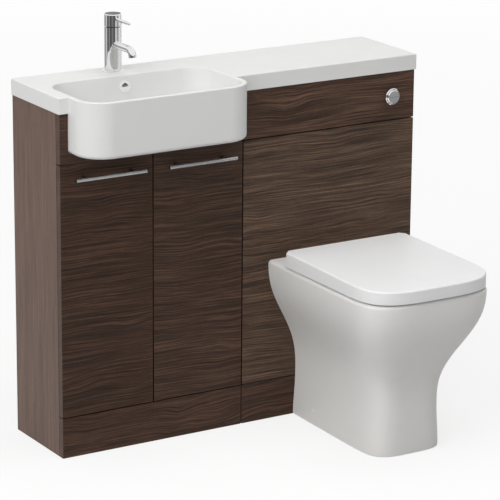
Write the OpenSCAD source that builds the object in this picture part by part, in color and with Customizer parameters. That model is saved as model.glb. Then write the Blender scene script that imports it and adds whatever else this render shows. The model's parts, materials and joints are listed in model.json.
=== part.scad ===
// Toilet and basin combination unit: a basin cupboard and a back-to-wall toilet unit
// side by side under one moulded top that carries the basin.
// X runs along the unit, the fronts face -Y and Z is up. Inside from_wall() the wall is y = 0,
// x = 0 is the line between the two halves, and z = 0 is the floor.

/* [Cabinet] */
// Width of each half of the cabinet
unit_w = 500; // [480:1:600]
// Height of the cabinet under the worktop
cabinet_h = 851; // [835:1:890]
// Depth of the side panels from front to back
side_d = 222; // [214:1:240]
// Thickness of the carcass boards
board_t = 18; // [15:0.5:20]
// Thickness of the doors and the fixed fronts
front_t = 18; // [16:0.5:20]
// Space that the pads and bumpers keep between carcass and fronts
stand_off = 2; // [1.5:0.25:3]
// Gap between neighbouring fronts
reveal = 3; // [2:0.25:4]
// Height of the plinths
plinth_h = 100; // [80:1:130]
// Height of the fascias over the doors and the toilet panel
fascia_h = 122; // [110:1:135]
// Width of the rails that tie the sides together
rail_w = 70; // [50:1:90]
// Height of the shelf's underside above the floor
shelf_z = 330; // [220:1:420]
// Depth of the shelf
shelf_d = 150; // [100:1:180]

/* [Worktop and basin] */
// Thickness of the worktop
top_t = 39; // [34:0.5:45]
// How far the worktop stands out past the sides and the fronts
overhang = 4; // [2:0.5:10]
// Width of the worktop left on each side of the basin
basin_margin = 22.5; // [21:0.5:40]
// Distance from the wall to the front of the basin
basin_reach = 345; // [330:1:380]
// Height of the basin, from its rim to its underside
basin_h = 136; // [125:1:145]
// Corner radius of the basin in plan
basin_r = 70; // [50:1:90]
// Radius along the lower edge of the basin
basin_edge_r = 10; // [6:1:18]
// Width of the basin's rim
rim_w = 12; // [9:0.5:18]
// Depth of the bowl
bowl_depth = 108; // [90:1:112]
// Distance from the wall to the back of the bowl
bowl_back = 100; // [92:1:112]
// How much the bowl narrows on each side from rim to floor
bowl_slope = 12; // [6:1:20]
// Radius between the bowl's walls and its floor
bowl_floor_r = 24; // [15:1:30]
// Distance from the wall to the centre of the waste
waste_back = 175; // [170:1:178]

/* [Tap] */
// Diameter of the tap's body
tap_d = 42; // [38:0.5:48]
// Height of the tap above the worktop
tap_h = 141; // [135:1:160]
// Height of the cap that works the tap
tap_cap_h = 30; // [30:1:40]
// Diameter of the spout
spout_d = 19; // [16:0.5:22]
// Height of the spout's centre line above the worktop
spout_z = 67; // [60:1:75]
// Distance from the tap's centre to the spout's outlet
spout_reach = 97; // [90:1:115]
// Distance from the wall to the tap's centre
tap_back = 45; // [36:1:45]

/* [Handles and hinges] */
// Length of a handle's bar
handle_l = 188; // [150:1:210]
// Distance between a handle's two posts
handle_pitch = 128; // [96:32:160]
// Diameter of a handle's bar
handle_d = 10; // [8:0.5:12]
// Distance from the door's face to the bar's centre
handle_out = 24; // [20:0.5:32]
// Distance from the door's top edge to the bar
handle_drop = 33; // [25:1:60]
// Diameter of a hinge cup
cup_d = 35; // [34:0.5:36]
// Distance from the ends of a door to its hinges
hinge_inset = 90; // [75:1:120]

/* [Toilet pan] */
// Height of the pan without its seat
pan_h = 414; // [400:1:430]
// Distance from the toilet panel to the front of the pan
pan_reach = 486; // [470:1:500]
// Width of the pan at its rim
pan_w = 362; // [348:1:378]
// Width of the pan where it stands on the floor
pan_base_w = 208; // [190:1:230]
// Width of the pan at its waist
pan_waist_w = 197; // [180:1:210]
// Thickness of the pan's walls
pan_wall = 13; // [11:0.5:15]
// Height of the flush inlet's centre above the floor
inlet_z = 345; // [335:1:355]
// Height of the soil outlet's centre above the floor
outlet_z = 185; // [178:1:195]
// Outer diameter of the pan's soil spigot
spigot_d = 102; // [100:0.5:104]

/* [Seat and lid] */
// How far the lid's sides lie inside the pan's
lid_side = 2.5; // [0:0.5:6]
// How far the lid reaches past the front of the pan
lid_nose = 4; // [0:1:14]
// Distance from the toilet panel to the back of the lid
lid_back = 72; // [66:1:80]
// Height of the lid at its back, over its skirt
lid_h = 38; // [37:0.5:42]
// How much lower the lid's top is at its front
lid_fall = 6.5; // [0:0.5:8]
// Thickness of the lid's top and skirt
lid_t = 7; // [5:0.5:8]
// Thickness of the seat
seat_t = 19; // [16:0.5:20]
// Gap that the buffers keep between pan and seat
seat_gap = 4; // [3:0.25:5]
// Distance from the toilet panel to the seat's hinge line
hinge_back = 88; // [86:0.5:96]
// Distance between the two hinge posts
hinge_pitch = 156; // [140:1:170]

/* [Cistern and flush] */
// Width of the cistern
cistern_w = 380; // [340:1:400]
// Depth of the cistern
cistern_d = 140; // [125:1:150]
// Height of the cistern's underside above the floor
cistern_z = 470; // [450:1:490]
// Height left between the tank and the top of the cabinet
cistern_gap = 81; // [60:1:100]
// Wall thickness of the cistern
cistern_wall = 4; // [3:0.5:5]
// Outer diameter of the flush pipe
flush_pipe_d = 44; // [40:1:46]
// Distance from the right-hand end of the cabinet to the flush button
button_inset = 71; // [50:1:80]
// Diameter of the flush button's collar
collar_d = 42; // [40:1:48]
// How far the collar stands out of the fascia
collar_h = 13; // [8:0.5:16]
// Travel of the flush buttons
button_travel = 5; // [3:0.5:7]

/* [Hidden] */
$fn = 64;

hull_fn = 32;          // facets of the rounded corners inside a hull
skin = 0.01;           // thickness of a slice that a hull is stretched over
past = 1;              // how far a cutting shape runs past the face it cuts
past_a = 5;            // the same for a bend, in degrees
seat_clear = 0.3;      // air left where two curved or moving faces come close
run_clear = 0.06;      // radial clearance of a running fit

// Fronts
back_y = -(side_d + stand_off);
face_y = back_y - front_t;
door_z0 = plinth_h + reveal;
fascia_z0 = cabinet_h - fascia_h;
door_z1 = fascia_z0 - reveal;
door_h = door_z1 - door_z0;
half_gap = reveal / 2;
door_w = unit_w / 2 - reveal * 3 / 4;
total_h = cabinet_h + top_t;
lid_reach = pan_reach + lid_nose;
wall_y = (lid_reach - face_y) / 2;

// Cabinet interior
inner_w = unit_w - 2 * board_t;
basin_x = -unit_w / 2;
wc_x = unit_w / 2;
peg_d = 5;
peg_l = 16;
shelf_gap = 1.5;
cistern_h = cabinet_h - cistern_z - cistern_gap;
low_rail_z = cistern_z - board_t - rail_w;
mid_rail_h = 60;
bracket_l = 32;
bracket_t = 2;
bracket_drop = 10;
bracket_z = cabinet_h - rail_w - bracket_l - bracket_drop;
cistern_rail_z = bracket_z - bracket_drop - rail_w;
bracket_hole_r = 3;
pad_r = board_t / 4;
pad_end = 12;

// Basin
basin_w = unit_w - 2 * basin_margin;
basin_back = bowl_back - rim_w;
basin_z0 = total_h - basin_h;
bowl_floor_z = total_h - bowl_depth;
bowl_r = basin_r - rim_w;
bowl_mid_y = -(bowl_back + basin_reach - rim_w) / 2;
bowl_l = basin_reach - rim_w - bowl_back;
bowl_w = basin_w - 2 * rim_w;
cut_gap = 1.5;
overflow_drop = 28;
overflow_r = 11;
overflow_ring_r = 14.5;
overflow_y = -(bowl_back + bowl_slope * overflow_drop / (bowl_depth - bowl_floor_r));
overflow_tilt = atan(bowl_slope / (bowl_depth - bowl_floor_r));
duct_w = 56;
duct_d = 18;
duct_wall = 4;
overflow_depth = duct_wall - overflow_y - basin_back;
passage_w = 30;
passage_h = 9;

// Waste and trap
waste_y = -waste_back;
waste_flange_r = 33;
waste_flange_t = 6;
waste_tail_r = 20.9;
waste_bore_r = 18.5;
waste_hole_r = 22.5;
waste_tail_l = 76;
plug_r = 29.5;
plug_t = 4.2;
plug_stem_r = 4;
plug_stem_l = 34;
plug_travel = 8;
bridge_w = 6;
bridge_h = 8;
boss_wall = 3;
boss_h = 12;
trap_r = 30;
trap_h = 96;
backnut_t = 14;
backnut_r = 29;
backnut_grip = 4;
trap_top_t = 4;
trap_roof = 7;
trap_wall = 3;
trap_nut_wall = 7;
trap_nut_h = 27;
trap_neck_r = 16.5;
trap_branch_l = 18;
trap_branch_wall = 6;
pipe_seal_t = 3;
pipe_seal_lap = 3;
trap_cup_h = 30;
cup_collar_h = 18;
cup_rib_r = 2;
trap_z1 = bowl_floor_z - waste_tail_l - trap_top_t;
trap_z0 = trap_z1 - trap_h;
trap_outlet_z = trap_z1 - 28;
trap_pipe_r = 16;
trap_pipe_wall = 2;

// Tap
tap_hole_r = 17.5;
tap_y = -tap_back;
tap_ring_r = 26;
tap_ring_t = 3;
tap_groove = 2;
tap_cap_z = tap_h - tap_cap_h;
lever_r = 4;
lever_z = tap_h - 12;
lever_reach = 84;
lever_root = tap_d / 2 - 6;
cap_wall = 4;
cap_chamfer = 2;
cap_hollow_h = tap_cap_h - 10;
cartridge_r = 17;
cartridge_l = 39;
waterway_r = 10;
stem_r = 6;
stem_disc_r = 14;
spout_bend_r = 16;
spout_bend_a = 80;
aerator_h = 4;
aerator_recess = 1;
aerator_hole_r = 1;
aerator_hole_at = 3.6;
spout_wall = 2.5;
spout_straight = spout_reach - spout_bend_r;
fixing_r = 16.5;
fixing_l = 58;
washer_r = 21.5;
washer_t = 3;
nut_t = 10;

// Hinges of the doors, as places across and behind the door's outer front edge
pivot_u = 7;
pivot_v = 6;
link_u = 32;
link_v = stand_off + front_t + 4;
link_l = 24.5;
link_angle = 205;
link_t = 3;
link_h = 12;
link_pin_r = 1.5;
cup_depth = 12;
cup_u = 5 + cup_d / 2;
plate_l = 46;
plate_h = 32;
plate_t = 9;
ear_t = 2;
ear_d = 9;
link_eye_r = 3;
cup_t = 1;
cup_ear_l = 52;
cup_ear_w = 11;
cup_ear_out = 3;
screw_d = 4;
screw_clear = 1;
screw_head_h = 1.5;
thread_l = 14;
handle_post_d = handle_d - 1;
hinge_zs = [door_z0 + hinge_inset, door_z1 - hinge_inset];
handle_z = door_z1 - handle_drop;
bumper_d = 8;

// Pan
rim_fade = 8;
pan_taper = 6.5;
pan_n = 4;
waist_z = 112;
base_setback = 96;
waist_setback = 98;
base_reach = pan_reach - base_setback;
waist_reach = pan_reach - waist_setback;
waist_lag = 1.1;         // how much later the sides start to spread than the front
pan_corner_top = 152;
pan_corner_base = 120;
deck_t = 22;
rim_side = 55;
rim_front = 40;
rim_back = 48;
opening_hw = pan_w / 2 - rim_side;
opening_back = hinge_back + rim_back;
opening_front = pan_reach - rim_front;
opening_n = 2.6;
sump_z = 128;
sump_hw = 46;
sump_back = 70;
sump_front = 120;
bowl_curve = 0.62;
trapway_in = 90;
trapway_rise = 26;
trapway_wall = 8;
trapway_back = 24;
trapway_fn = 24;
inlet_r = 28;
inlet_wall = 9;
inlet_socket_l = 60;
flush_way_r = 16;
outlet_r = 44;
spigot_in = 40;
post_hole_r = 6;
spigot_l = 60;
spigot_clear = 4;
inlet_clear = 6;
rubber_grip = 0.3;
connector_r = 55;
connector_wall = 4;
socket_r = connector_r + 9;
socket_y1 = face_y + spigot_l + 2;
socket_y0 = face_y + front_t + stand_off + 8;
fixing_cap_y = 97;
fixing_cap_z = 34;
fixing_cap_r = 7;
fixing_hole_r = 5;
fixing_screw_r = 3;
fixing_bracket_l = 44;
fixing_bracket_h = 50;
fixing_bracket_t = 4;
fixing_bracket_w = 20;
fixing_gap = 5;
cap_gap = 0.7;

// Seat, lid and their hinges
skirt_z = pan_h + seat_gap;
lid_z1 = skirt_z + lid_h;
axis_z = lid_z1 - lid_t - 10;
axis_y = face_y - hinge_back;
pin_r = 5;
barrel_r = 8;
post_w = 16;
post_d = 12;
post_plate_r = 17;
post_plate_t = 3.6;
post_stud_r = 4;
post_stud_out = 20;
post_nut_r = 12;
post_nut_h = 10;
post_wings = [44, 4, 8];
seat_back = hinge_back + 16;
seat_cover = [14, 12, 20];  // how far the seat reaches over the bowl: sides, back and front
seat_arm_l = 24;
lug_w = 12;
lug_gap = 0.5;
lid_w = pan_w - 2 * lid_side;
lid_corner = 150;
lid_taper = 2;
lid_back_r = 14;
seat_back_r = 12;
lid_n = 3.6;
lid_slope = lid_fall / (lid_reach - lid_back);
lid_edge = 4;
seat_inset = lid_t + 3;
seat_z0 = skirt_z;
seat_z1 = seat_z0 + seat_t;
skirt_sweep_r = axis_z - pan_h - 3;
buffer_gap = 0.2;
buffer_out = 20;
buffer_in = 30;
buffer_from_hinge = 54;
buffer_from_front = 8;
buffer_d = 14;

// Cistern
cistern_y1 = -board_t;
flush_x = 0;
fill_inset = 52;
fill_x = -cistern_w / 2 + fill_inset;
fill_tube_r = 11;
fill_foot_r = 17;
fill_foot_h = 8;
fill_nut_r = 16;
fill_nut_h = 10;
fill_bore_r = 6;
fill_head_r = 15;
fill_head_h = 24;
fill_head_drop = 50;
tank_lid_t = 4;
tank_lid_rim = 3;
tank_lid_h = 8;
inlet_tail_r = 10.2;
inlet_tail_l = 26;
flush_tail_r = flush_pipe_d / 2 + 3;
flush_tail_l = 40;
flush_bend_r = 48;
flush_wall = 2;
flush_nut_l = 16;
cone_l = 36;               // how far the flush pipe reaches into the pan
fins = 3;
fin_step = 9;
fin_t = 3;
flush_pipe_y = cistern_y1 - cistern_d / 2;
valve_r = 38;
valve_bore_r = flush_pipe_d / 2 - 4;
valve_seat_z = 14;
float_r = 34;
float_h = 62;
float_z = 90;
float_wall = 3;
float_top_t = 12;
basket_h = 60;
overflow_tube_r = 13;
overflow_tube_wall = 3;
valve_seal_lap = 6;
valve_seal_t = 5;
overflow_tube_l = 180;
flush_nut_wall = 11;
button_x = unit_w - button_inset;
button_z = fascia_z0 + fascia_h / 2;
button_r = collar_d / 2 - 4;
button_proud = 4;
collar_tail_r = collar_d / 2 - 2;
collar_nut_h = 9;
button_l = 12;
edge_cut = 1.5;

module from_wall() translate([0, wall_y, 0]) children();

// A board between two corners
module board(low, high) translate(low) cube(high - low);

// A rectangle with round corners, centred on the origin
module round_rect(size, r) {
    square([size[0] - 2 * r, size[1]], center = true);
    square([size[0], size[1] - 2 * r], center = true);
    for (sx = [-1, 1], sy = [-1, 1])
        translate([sx * (size[0] / 2 - r), sy * (size[1] / 2 - r)]) circle(r);
}

// A thin slice of that rectangle, for hulls
module slice(size, r, z) translate([0, 0, z]) linear_extrude(skin) round_rect(size, r, $fn = hull_fn);

// A round bar along Y or X that starts at the origin
module bar_y(r, l) rotate([90, 0, 0]) cylinder(r = r, h = l);
module bar_x(r, l) rotate([0, 90, 0]) cylinder(r = r, h = l);

// A round bar that bends about Z from one angle to another, with straight ends
module elbow(r, bend_r, a0, a1, before, after) {
    rotate_extrude(start = a0, angle = a1 - a0) translate([bend_r, 0]) circle(r);
    if (before > 0) rotate([0, 0, a0]) translate([bend_r, 0, 0]) bar_y(r, before);
    if (after > 0) rotate([0, 0, a1]) translate([bend_r, 0, 0]) rotate([0, 0, 180]) bar_y(r, after);
}

// The outline that pan, seat and lid share: straight sides that spread towards the front,
// and a front of squared curves. y = 0 is its back.
function squared(t, n) = sign(t) * pow(abs(t), 2 / n);
function d_outline(hw, reach, corner, taper, back_r, n = pan_n, steps = 28) = concat(
    [[-hw + taper + back_r, 0], [-hw + taper, -back_r]],
    [for (i = [0:steps]) let (a = 180 + 180 * i / steps)
        [hw * squared(cos(a), n), -(reach - corner) + corner * squared(sin(a), n)]],
    [[hw - taper, -back_r], [hw - taper - back_r, 0]]);

// An oval with squared ends, for the openings in pan and seat
function oval(hw, back, front, n, steps = 32) = [for (i = [0:steps - 1]) let (a = 360 * i / steps)
    [hw * squared(cos(a), n), -(back + front) / 2 + (front - back) / 2 * squared(sin(a), n)]];

// A solid through a stack of outlines of equal length, each [z, outline, slope]. An outline
// with a slope lies in a plane that falls towards the front.
module loft(stack) {
    n = len(stack[0][1]);
    m = len(stack);
    points = [for (s = stack, p = s[1]) [p[0], p[1], s[0] + (len(s) > 2 ? s[2] * p[1] : 0)]];
    sides = [for (k = [0:m - 2], i = [0:n - 1]) let (j = (i + 1) % n)
        each [[k * n + i, (k + 1) * n + j, k * n + j], [k * n + i, (k + 1) * n + i, (k + 1) * n + j]]];
    bottom = [[for (i = [0:n - 1]) i]];
    top = [[for (i = [n - 1:-1:0]) (m - 1) * n + i]];
    polyhedron(points, concat(bottom, sides, top), convexity = 6);
}

/* ---- Cabinet ---- */

module walnut() color([0.27, 0.20, 0.17]) children();
module steel() color([0.72, 0.73, 0.75]) children();
module chrome() color([0.82, 0.83, 0.85]) children();
module resin() color([0.93, 0.93, 0.92]) children();
module plastic() color([0.88, 0.88, 0.86]) children();
module ceramic() color([0.90, 0.89, 0.87]) children();

module side_panel(x) walnut() board([x, -side_d, 0], [x + board_t, 0, cabinet_h]);

module basin_unit_left_side() from_wall() side_panel(-unit_w);
module basin_unit_right_side() from_wall() side_panel(-board_t);
module wc_unit_left_side() from_wall() side_panel(0);
module wc_unit_right_side() from_wall() side_panel(unit_w - board_t);

module basin_unit_floor() from_wall() walnut()
    board([-unit_w + board_t, -side_d, plinth_h], [-board_t, 0, plinth_h + board_t]);

// Rails on edge between two sides: front foot, back foot and top back
module rail(x0, y0, z0, h) board([x0, y0, z0], [x0 + inner_w, y0 + board_t, z0 + h]);

module basin_unit_rails() from_wall() walnut() {
    rail(-unit_w + board_t, -board_t, cabinet_h - rail_w, rail_w);
    rail(-unit_w + board_t, -board_t, plinth_h + board_t, rail_w);
    rail(-unit_w + board_t, -side_d, 0, plinth_h);
}

module wc_unit_rails() from_wall() walnut() {
    for (z = [cabinet_h - rail_w, cistern_rail_z, low_rail_z]) rail(board_t, -board_t, z, rail_w);
    rail(board_t, -side_d, 0, plinth_h);
    rail(board_t, -side_d, fascia_z0 - half_gap - mid_rail_h / 2, mid_rail_h);
    board([board_t, -side_d, cabinet_h - board_t], [unit_w - board_t, -side_d + rail_w, cabinet_h]);
}

module cupboard_shelf() from_wall() walnut()
    board([-unit_w + board_t + shelf_gap, -board_t - shelf_d, shelf_z],
        [-board_t - shelf_gap, -board_t - shelf_gap, shelf_z + board_t]);

module shelf_pegs() from_wall() steel()
    for (x = [-unit_w + board_t, -board_t - peg_l], y = [-shelf_d, -board_t - 30])
        translate([x, y, shelf_z - peg_d / 2]) bar_x(peg_d / 2, peg_l);

// The fascia is cut away round the basin, which stands out through it
module basin_fascia() from_wall() walnut() difference() {
    board([-unit_w, face_y, fascia_z0], [-half_gap, back_y, cabinet_h]);
    translate([basin_x, face_y - past, 0]) rotate([-90, 0, 0]) linear_extrude(front_t + 2 * past)
        translate([0, -cabinet_h])
            round_rect([basin_w + 2 * cut_gap, 2 * (cabinet_h - basin_z0 + cut_gap)], basin_edge_r + cut_gap);
}

module wc_fascia() from_wall() walnut() difference() {
    board([half_gap, face_y, fascia_z0], [unit_w, back_y, cabinet_h]);
    translate([button_x, back_y + past, button_z]) bar_y(collar_tail_r + seat_clear, front_t + 2 * past);
}

module wc_front_panel() from_wall() walnut() difference() {
    board([half_gap, face_y, door_z0], [unit_w, back_y, door_z1]);
    translate([wc_x, back_y + past, outlet_z]) bar_y(spigot_d / 2 + spigot_clear, front_t + 2 * past);
    translate([wc_x, back_y + past, inlet_z]) bar_y(inlet_r + inlet_clear, front_t + 2 * past);
}

// One plinth under each unit
module plinths() from_wall() walnut() {
    board([-unit_w, face_y, 0], [-half_gap, back_y, plinth_h]);
    board([half_gap, face_y, 0], [unit_w, back_y, plinth_h]);
}

// Pads that hold the fixed fronts off the side panels, and bumpers on the cupboard's floor
// that the doors close on
module pads_and_bumpers() from_wall() plastic() {
    side_xs = [-unit_w + board_t / 2, -board_t / 2, board_t / 2, unit_w - board_t / 2];
    for (x = side_xs, z = [plinth_h / 2, fascia_z0 + pad_end, cabinet_h - pad_end])
        translate([x, -side_d, z]) bar_y(pad_r, stand_off);
    for (x = [side_xs[2], side_xs[3]], z = [door_z0 + pad_end, (door_z0 + door_z1) / 2, door_z1 - pad_end])
        translate([x, -side_d, z]) bar_y(pad_r, stand_off);
    for (x = [basin_x - 20, basin_x + 20])
        translate([x, -side_d, plinth_h + board_t / 2]) bar_y(bumper_d / 2, stand_off - seat_clear / 2);
}

module wall_bracket() difference() {
    union() {
        board([0, -bracket_l, 0], [bracket_t, 0, bracket_l]);
        board([0, -bracket_t, 0], [bracket_l, 0, bracket_l]);
    }
    translate([(bracket_l + bracket_t) / 2, past, bracket_l / 2]) bar_y(bracket_hole_r, bracket_t + 2 * past);
}
module wall_brackets() from_wall() steel() for (x = [-unit_w / 2, unit_w / 2], s = [-1, 1])
    translate([x - s * inner_w / 2, 0, bracket_z]) mirror([s < 0 ? 1 : 0, 0, 0]) wall_bracket();

/* ---- Worktop and basin ---- */

module basin_outer() translate([basin_x, -(basin_back + basin_reach) / 2, 0]) {
    hull() for (i = [0:4]) let (a = 90 * i / 4, inset = basin_edge_r * (1 - sin(a)))
        slice([basin_w - 2 * inset, basin_reach - basin_back - 2 * inset], basin_r - inset,
            basin_z0 + basin_edge_r * (1 - cos(a)));
    translate([0, 0, basin_z0 + basin_edge_r]) linear_extrude(basin_h - basin_edge_r)
        round_rect([basin_w, basin_reach - basin_back], basin_r);
}

module bowl_space() translate([basin_x, bowl_mid_y, 0]) hull() {
    slice([bowl_w + 2, bowl_l + 2], bowl_r + 1, total_h + past);
    slice([bowl_w, bowl_l], bowl_r, total_h - 3);
    for (i = [0:5]) let (a = 90 * i / 5, inset = bowl_slope + bowl_floor_r * (1 - cos(a)))
        slice([bowl_w - 2 * inset, bowl_l - 2 * inset], bowl_r - inset / 2,
            bowl_floor_z + bowl_floor_r * (1 - sin(a)));
}

module overflow_place() translate([basin_x, overflow_y, total_h - overflow_drop])
    rotate([-overflow_tilt, 0, 0]) children();

module basin_worktop() from_wall() resin() difference() {
    union() {
        board([-unit_w - overhang, face_y - overhang, cabinet_h], [unit_w + overhang, 0, total_h]);
        basin_outer();
        board([basin_x - duct_w / 2, -basin_back - duct_wall, basin_z0 + basin_edge_r],
            [basin_x + duct_w / 2, -basin_back + duct_d, cabinet_h + past]);
    }
    bowl_space();
    // the overflow's seat and hole, its duct down the back and the passage to the waste
    overflow_place() bar_y(overflow_ring_r + seat_clear, 30);
    translate([basin_x, -basin_back + duct_wall, total_h - overflow_drop])
        bar_y(overflow_r + seat_clear, overflow_depth);
    board([basin_x - duct_w / 2 + duct_wall, -basin_back + duct_wall, basin_z0 + basin_edge_r + duct_wall],
        [basin_x + duct_w / 2 - duct_wall, -basin_back + duct_d - duct_wall,
            total_h - overflow_drop + overflow_r]);
    board([basin_x - passage_w / 2, waste_y, bowl_floor_z - waste_flange_t - passage_h - 2],
        [basin_x + passage_w / 2, -basin_back + duct_wall + past, bowl_floor_z - waste_flange_t - 2]);
    // tap hole, waste hole and the seat of the waste's flange
    translate([basin_x, tap_y, cabinet_h - past]) cylinder(r = tap_hole_r, h = top_t + 2 * past);
    translate([basin_x, waste_y, basin_z0 - past]) cylinder(r = waste_hole_r, h = basin_h);
    translate([basin_x, waste_y, bowl_floor_z - waste_flange_t])
        cylinder(r = waste_flange_r + seat_clear, h = waste_flange_t + basin_edge_r);
}

module overflow_ring() from_wall() chrome() difference() {
    union() {
        overflow_place() bar_y(overflow_ring_r, 2);
        translate([basin_x, -basin_back + duct_wall, total_h - overflow_drop])
            bar_y(overflow_r, overflow_depth);
    }
    translate([basin_x, -basin_back + duct_wall + past, total_h - overflow_drop])
        bar_y(overflow_r - 2, overflow_depth + 3 * past);
}

module at_waste(z = 0) translate([basin_x, waste_y, bowl_floor_z + z]) children();

// Waste with its flange in the bowl, a threaded tail and a bridge that guides the plug's stem
module click_waste() from_wall() chrome() at_waste() {
    difference() {
        union() {
            translate([0, 0, -waste_flange_t]) cylinder(r = waste_flange_r, h = waste_flange_t);
            translate([0, 0, -waste_tail_l]) cylinder(r = waste_tail_r, h = waste_tail_l);
        }
        translate([0, 0, -waste_tail_l - past]) cylinder(r = waste_bore_r, h = waste_tail_l + 2 * past);
        translate([0, 0, -plug_t]) cylinder(r = plug_r + seat_clear, h = plug_t + past);
    }
    difference() {
        union() {
            translate([0, 0, boss_h - plug_stem_l])
                cube([2 * waste_bore_r + 2, bridge_w, bridge_h], center = true);
            translate([0, 0, boss_h / 2 - plug_stem_l]) cylinder(r = plug_stem_r + boss_wall, h = boss_h);
        }
        translate([0, 0, -plug_stem_l]) cylinder(r = plug_stem_r + run_clear, h = plug_stem_l);
    }
}

module waste_backnut() from_wall() chrome() at_waste() difference() {
    translate([0, 0, -(basin_h - bowl_depth) - backnut_t]) {
        cylinder(r = backnut_r, h = backnut_t);
        for (a = [0:60:300]) rotate([0, 0, a]) translate([backnut_r, 0, backnut_t / 2])
            cube([backnut_grip, 2 * backnut_grip, backnut_t], center = true);
    }
    translate([0, 0, -waste_tail_l]) cylinder(r = waste_tail_r + seat_clear, h = waste_tail_l);
}

module waste_plug() from_wall() chrome() at_waste() {
    translate([0, 0, -plug_t + seat_clear]) cylinder(r = plug_r, h = plug_t - seat_clear);
    translate([0, 0, -plug_stem_l - plug_travel]) cylinder(r = plug_stem_r, h = plug_stem_l + plug_travel - 1);
}

// Bottle trap: nut and neck over the waste's tail, body and outlet branch
module bottle_trap() from_wall() plastic() translate([basin_x, waste_y, 0]) difference() {
    union() {
        translate([0, 0, trap_z0 + trap_cup_h]) cylinder(r = trap_r, h = trap_h - trap_cup_h);
        translate([0, 0, trap_z1 - past]) cylinder(r = waste_tail_r + trap_nut_wall, h = trap_nut_h);
        translate([0, 0, trap_outlet_z]) rotate([180, 0, 0])
            bar_y(trap_pipe_r + trap_branch_wall, trap_r + trap_branch_l);
    }
    translate([0, 0, trap_z1 + trap_top_t]) cylinder(r = waste_tail_r + seat_clear, h = trap_nut_h);
    translate([0, 0, trap_z1 - trap_roof - past]) cylinder(r = trap_neck_r, h = trap_roof + trap_top_t + 2 * past);
    translate([0, 0, trap_z0 + trap_cup_h - past])
        cylinder(r = trap_r - trap_wall, h = trap_h - trap_cup_h - trap_roof + past);
    translate([0, 0, trap_outlet_z]) rotate([180, 0, 0])
        bar_y(trap_pipe_r, trap_r + trap_branch_l + past);
}

// Screw-off cup at the foot of the trap
module trap_cup() from_wall() plastic() translate([basin_x, waste_y, trap_z0]) difference() {
    foot_h = trap_cup_h - cup_collar_h;
    union() {
        translate([0, 0, foot_h]) cylinder(r = trap_r + trap_wall, h = cup_collar_h);
        cylinder(r = trap_r - trap_wall - 1, h = foot_h);
        for (a = [0:30:330]) rotate([0, 0, a]) translate([trap_r + trap_wall, 0, foot_h + 1])
            cylinder(r = cup_rib_r, h = cup_collar_h - 2);
    }
    translate([0, 0, trap_wall + 1]) cylinder(r = trap_r - 2 * trap_wall - 1, h = trap_cup_h);
}

// Pipe to the wall, with the seal that stops it at the mouth of the trap's branch
module trap_outlet_pipe() from_wall() plastic() translate([basin_x, 0, trap_outlet_z]) difference() {
    free_l = waste_back - trap_r - trap_branch_l;
    union() {
        bar_y(trap_pipe_r, free_l - seat_clear);
        bar_y(trap_pipe_r - seat_clear, waste_back - trap_r - 2);
        translate([0, pipe_seal_t - free_l, 0]) bar_y(trap_pipe_r + pipe_seal_lap, pipe_seal_t - seat_clear);
    }
    translate([0, past, 0]) bar_y(trap_pipe_r - trap_pipe_wall, waste_back);
}

/* ---- Tap ---- */

module at_tap(z = 0) translate([basin_x, tap_y, total_h + z]) children();

// The spout runs level out of the body, then bends down towards the bowl
module spout(r, past_a = 0) translate([0, -spout_straight, spout_z - spout_bend_r]) rotate([90, 0, -90])
    elbow(r, spout_bend_r, 90 - spout_bend_a - past_a, 90, 0, spout_straight);

// The end of the spout's bend, with Z along the stream
module at_spout_end() translate([0, -spout_straight - spout_bend_r * sin(spout_bend_a),
    spout_z - spout_bend_r * (1 - cos(spout_bend_a))]) rotate([90 + spout_bend_a, 0, 0]) children();

module tap_body() from_wall() chrome() at_tap() difference() {
    union() {
        translate([0, 0, tap_ring_t]) cylinder(d = tap_d, h = tap_cap_z - tap_groove - tap_ring_t);
        spout(spout_d / 2);
    }
    translate([0, 0, tap_cap_z - tap_groove - cartridge_l]) cylinder(r = cartridge_r + seat_clear, h = cartridge_l + past);
    translate([0, 0, -past]) cylinder(r = waterway_r, h = spout_z + past);
    spout(spout_d / 2 - spout_wall, past_a);
}

module tap_base_ring() from_wall() chrome() at_tap() difference() {
    union() {
        cylinder(r = tap_ring_r, h = tap_ring_t / 2);
        translate([0, 0, tap_ring_t / 2]) cylinder(r1 = tap_ring_r, r2 = tap_d / 2 + 1, h = tap_ring_t / 2);
    }
    translate([0, 0, -past]) cylinder(r = waterway_r, h = tap_ring_t + 2 * past);
}

// Threaded shank through the worktop with its washer and nut
module tap_fixing() from_wall() steel() at_tap() difference() {
    union() {
        translate([0, 0, -fixing_l]) cylinder(r = fixing_r, h = fixing_l);
        translate([0, 0, -top_t - washer_t]) cylinder(r = washer_r, h = washer_t);
        translate([0, 0, -top_t - washer_t - nut_t]) cylinder(r = washer_r, h = nut_t, $fn = 6);
    }
    translate([0, 0, -fixing_l - past]) cylinder(r = waterway_r, h = fixing_l + 2 * past);
}

module tap_cartridge() from_wall() steel() at_tap()
    translate([0, 0, tap_cap_z - tap_groove - cartridge_l]) cylinder(r = cartridge_r, h = cartridge_l);

// The cartridge's stem, which carries the cap
module tap_stem() from_wall() steel() at_tap(tap_cap_z - tap_groove) {
    translate([0, 0, seat_clear]) cylinder(r = stem_disc_r, h = tap_groove - 2 * seat_clear);
    translate([0, 0, seat_clear]) cylinder(r = stem_r, h = tap_groove + cap_hollow_h - 2 * seat_clear);
}

module tap_cap() from_wall() chrome() at_tap(tap_cap_z) difference() {
    union() {
        cylinder(d = tap_d, h = tap_cap_h - cap_chamfer);
        translate([0, 0, tap_cap_h - cap_chamfer]) cylinder(d1 = tap_d, d2 = tap_d - 3, h = cap_chamfer);
    }
    translate([0, 0, -past]) cylinder(r = tap_d / 2 - cap_wall, h = cap_hollow_h + past);
    translate([0, -lever_root, lever_z - tap_cap_z]) bar_y(lever_r + run_clear, tap_d);
}

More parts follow.
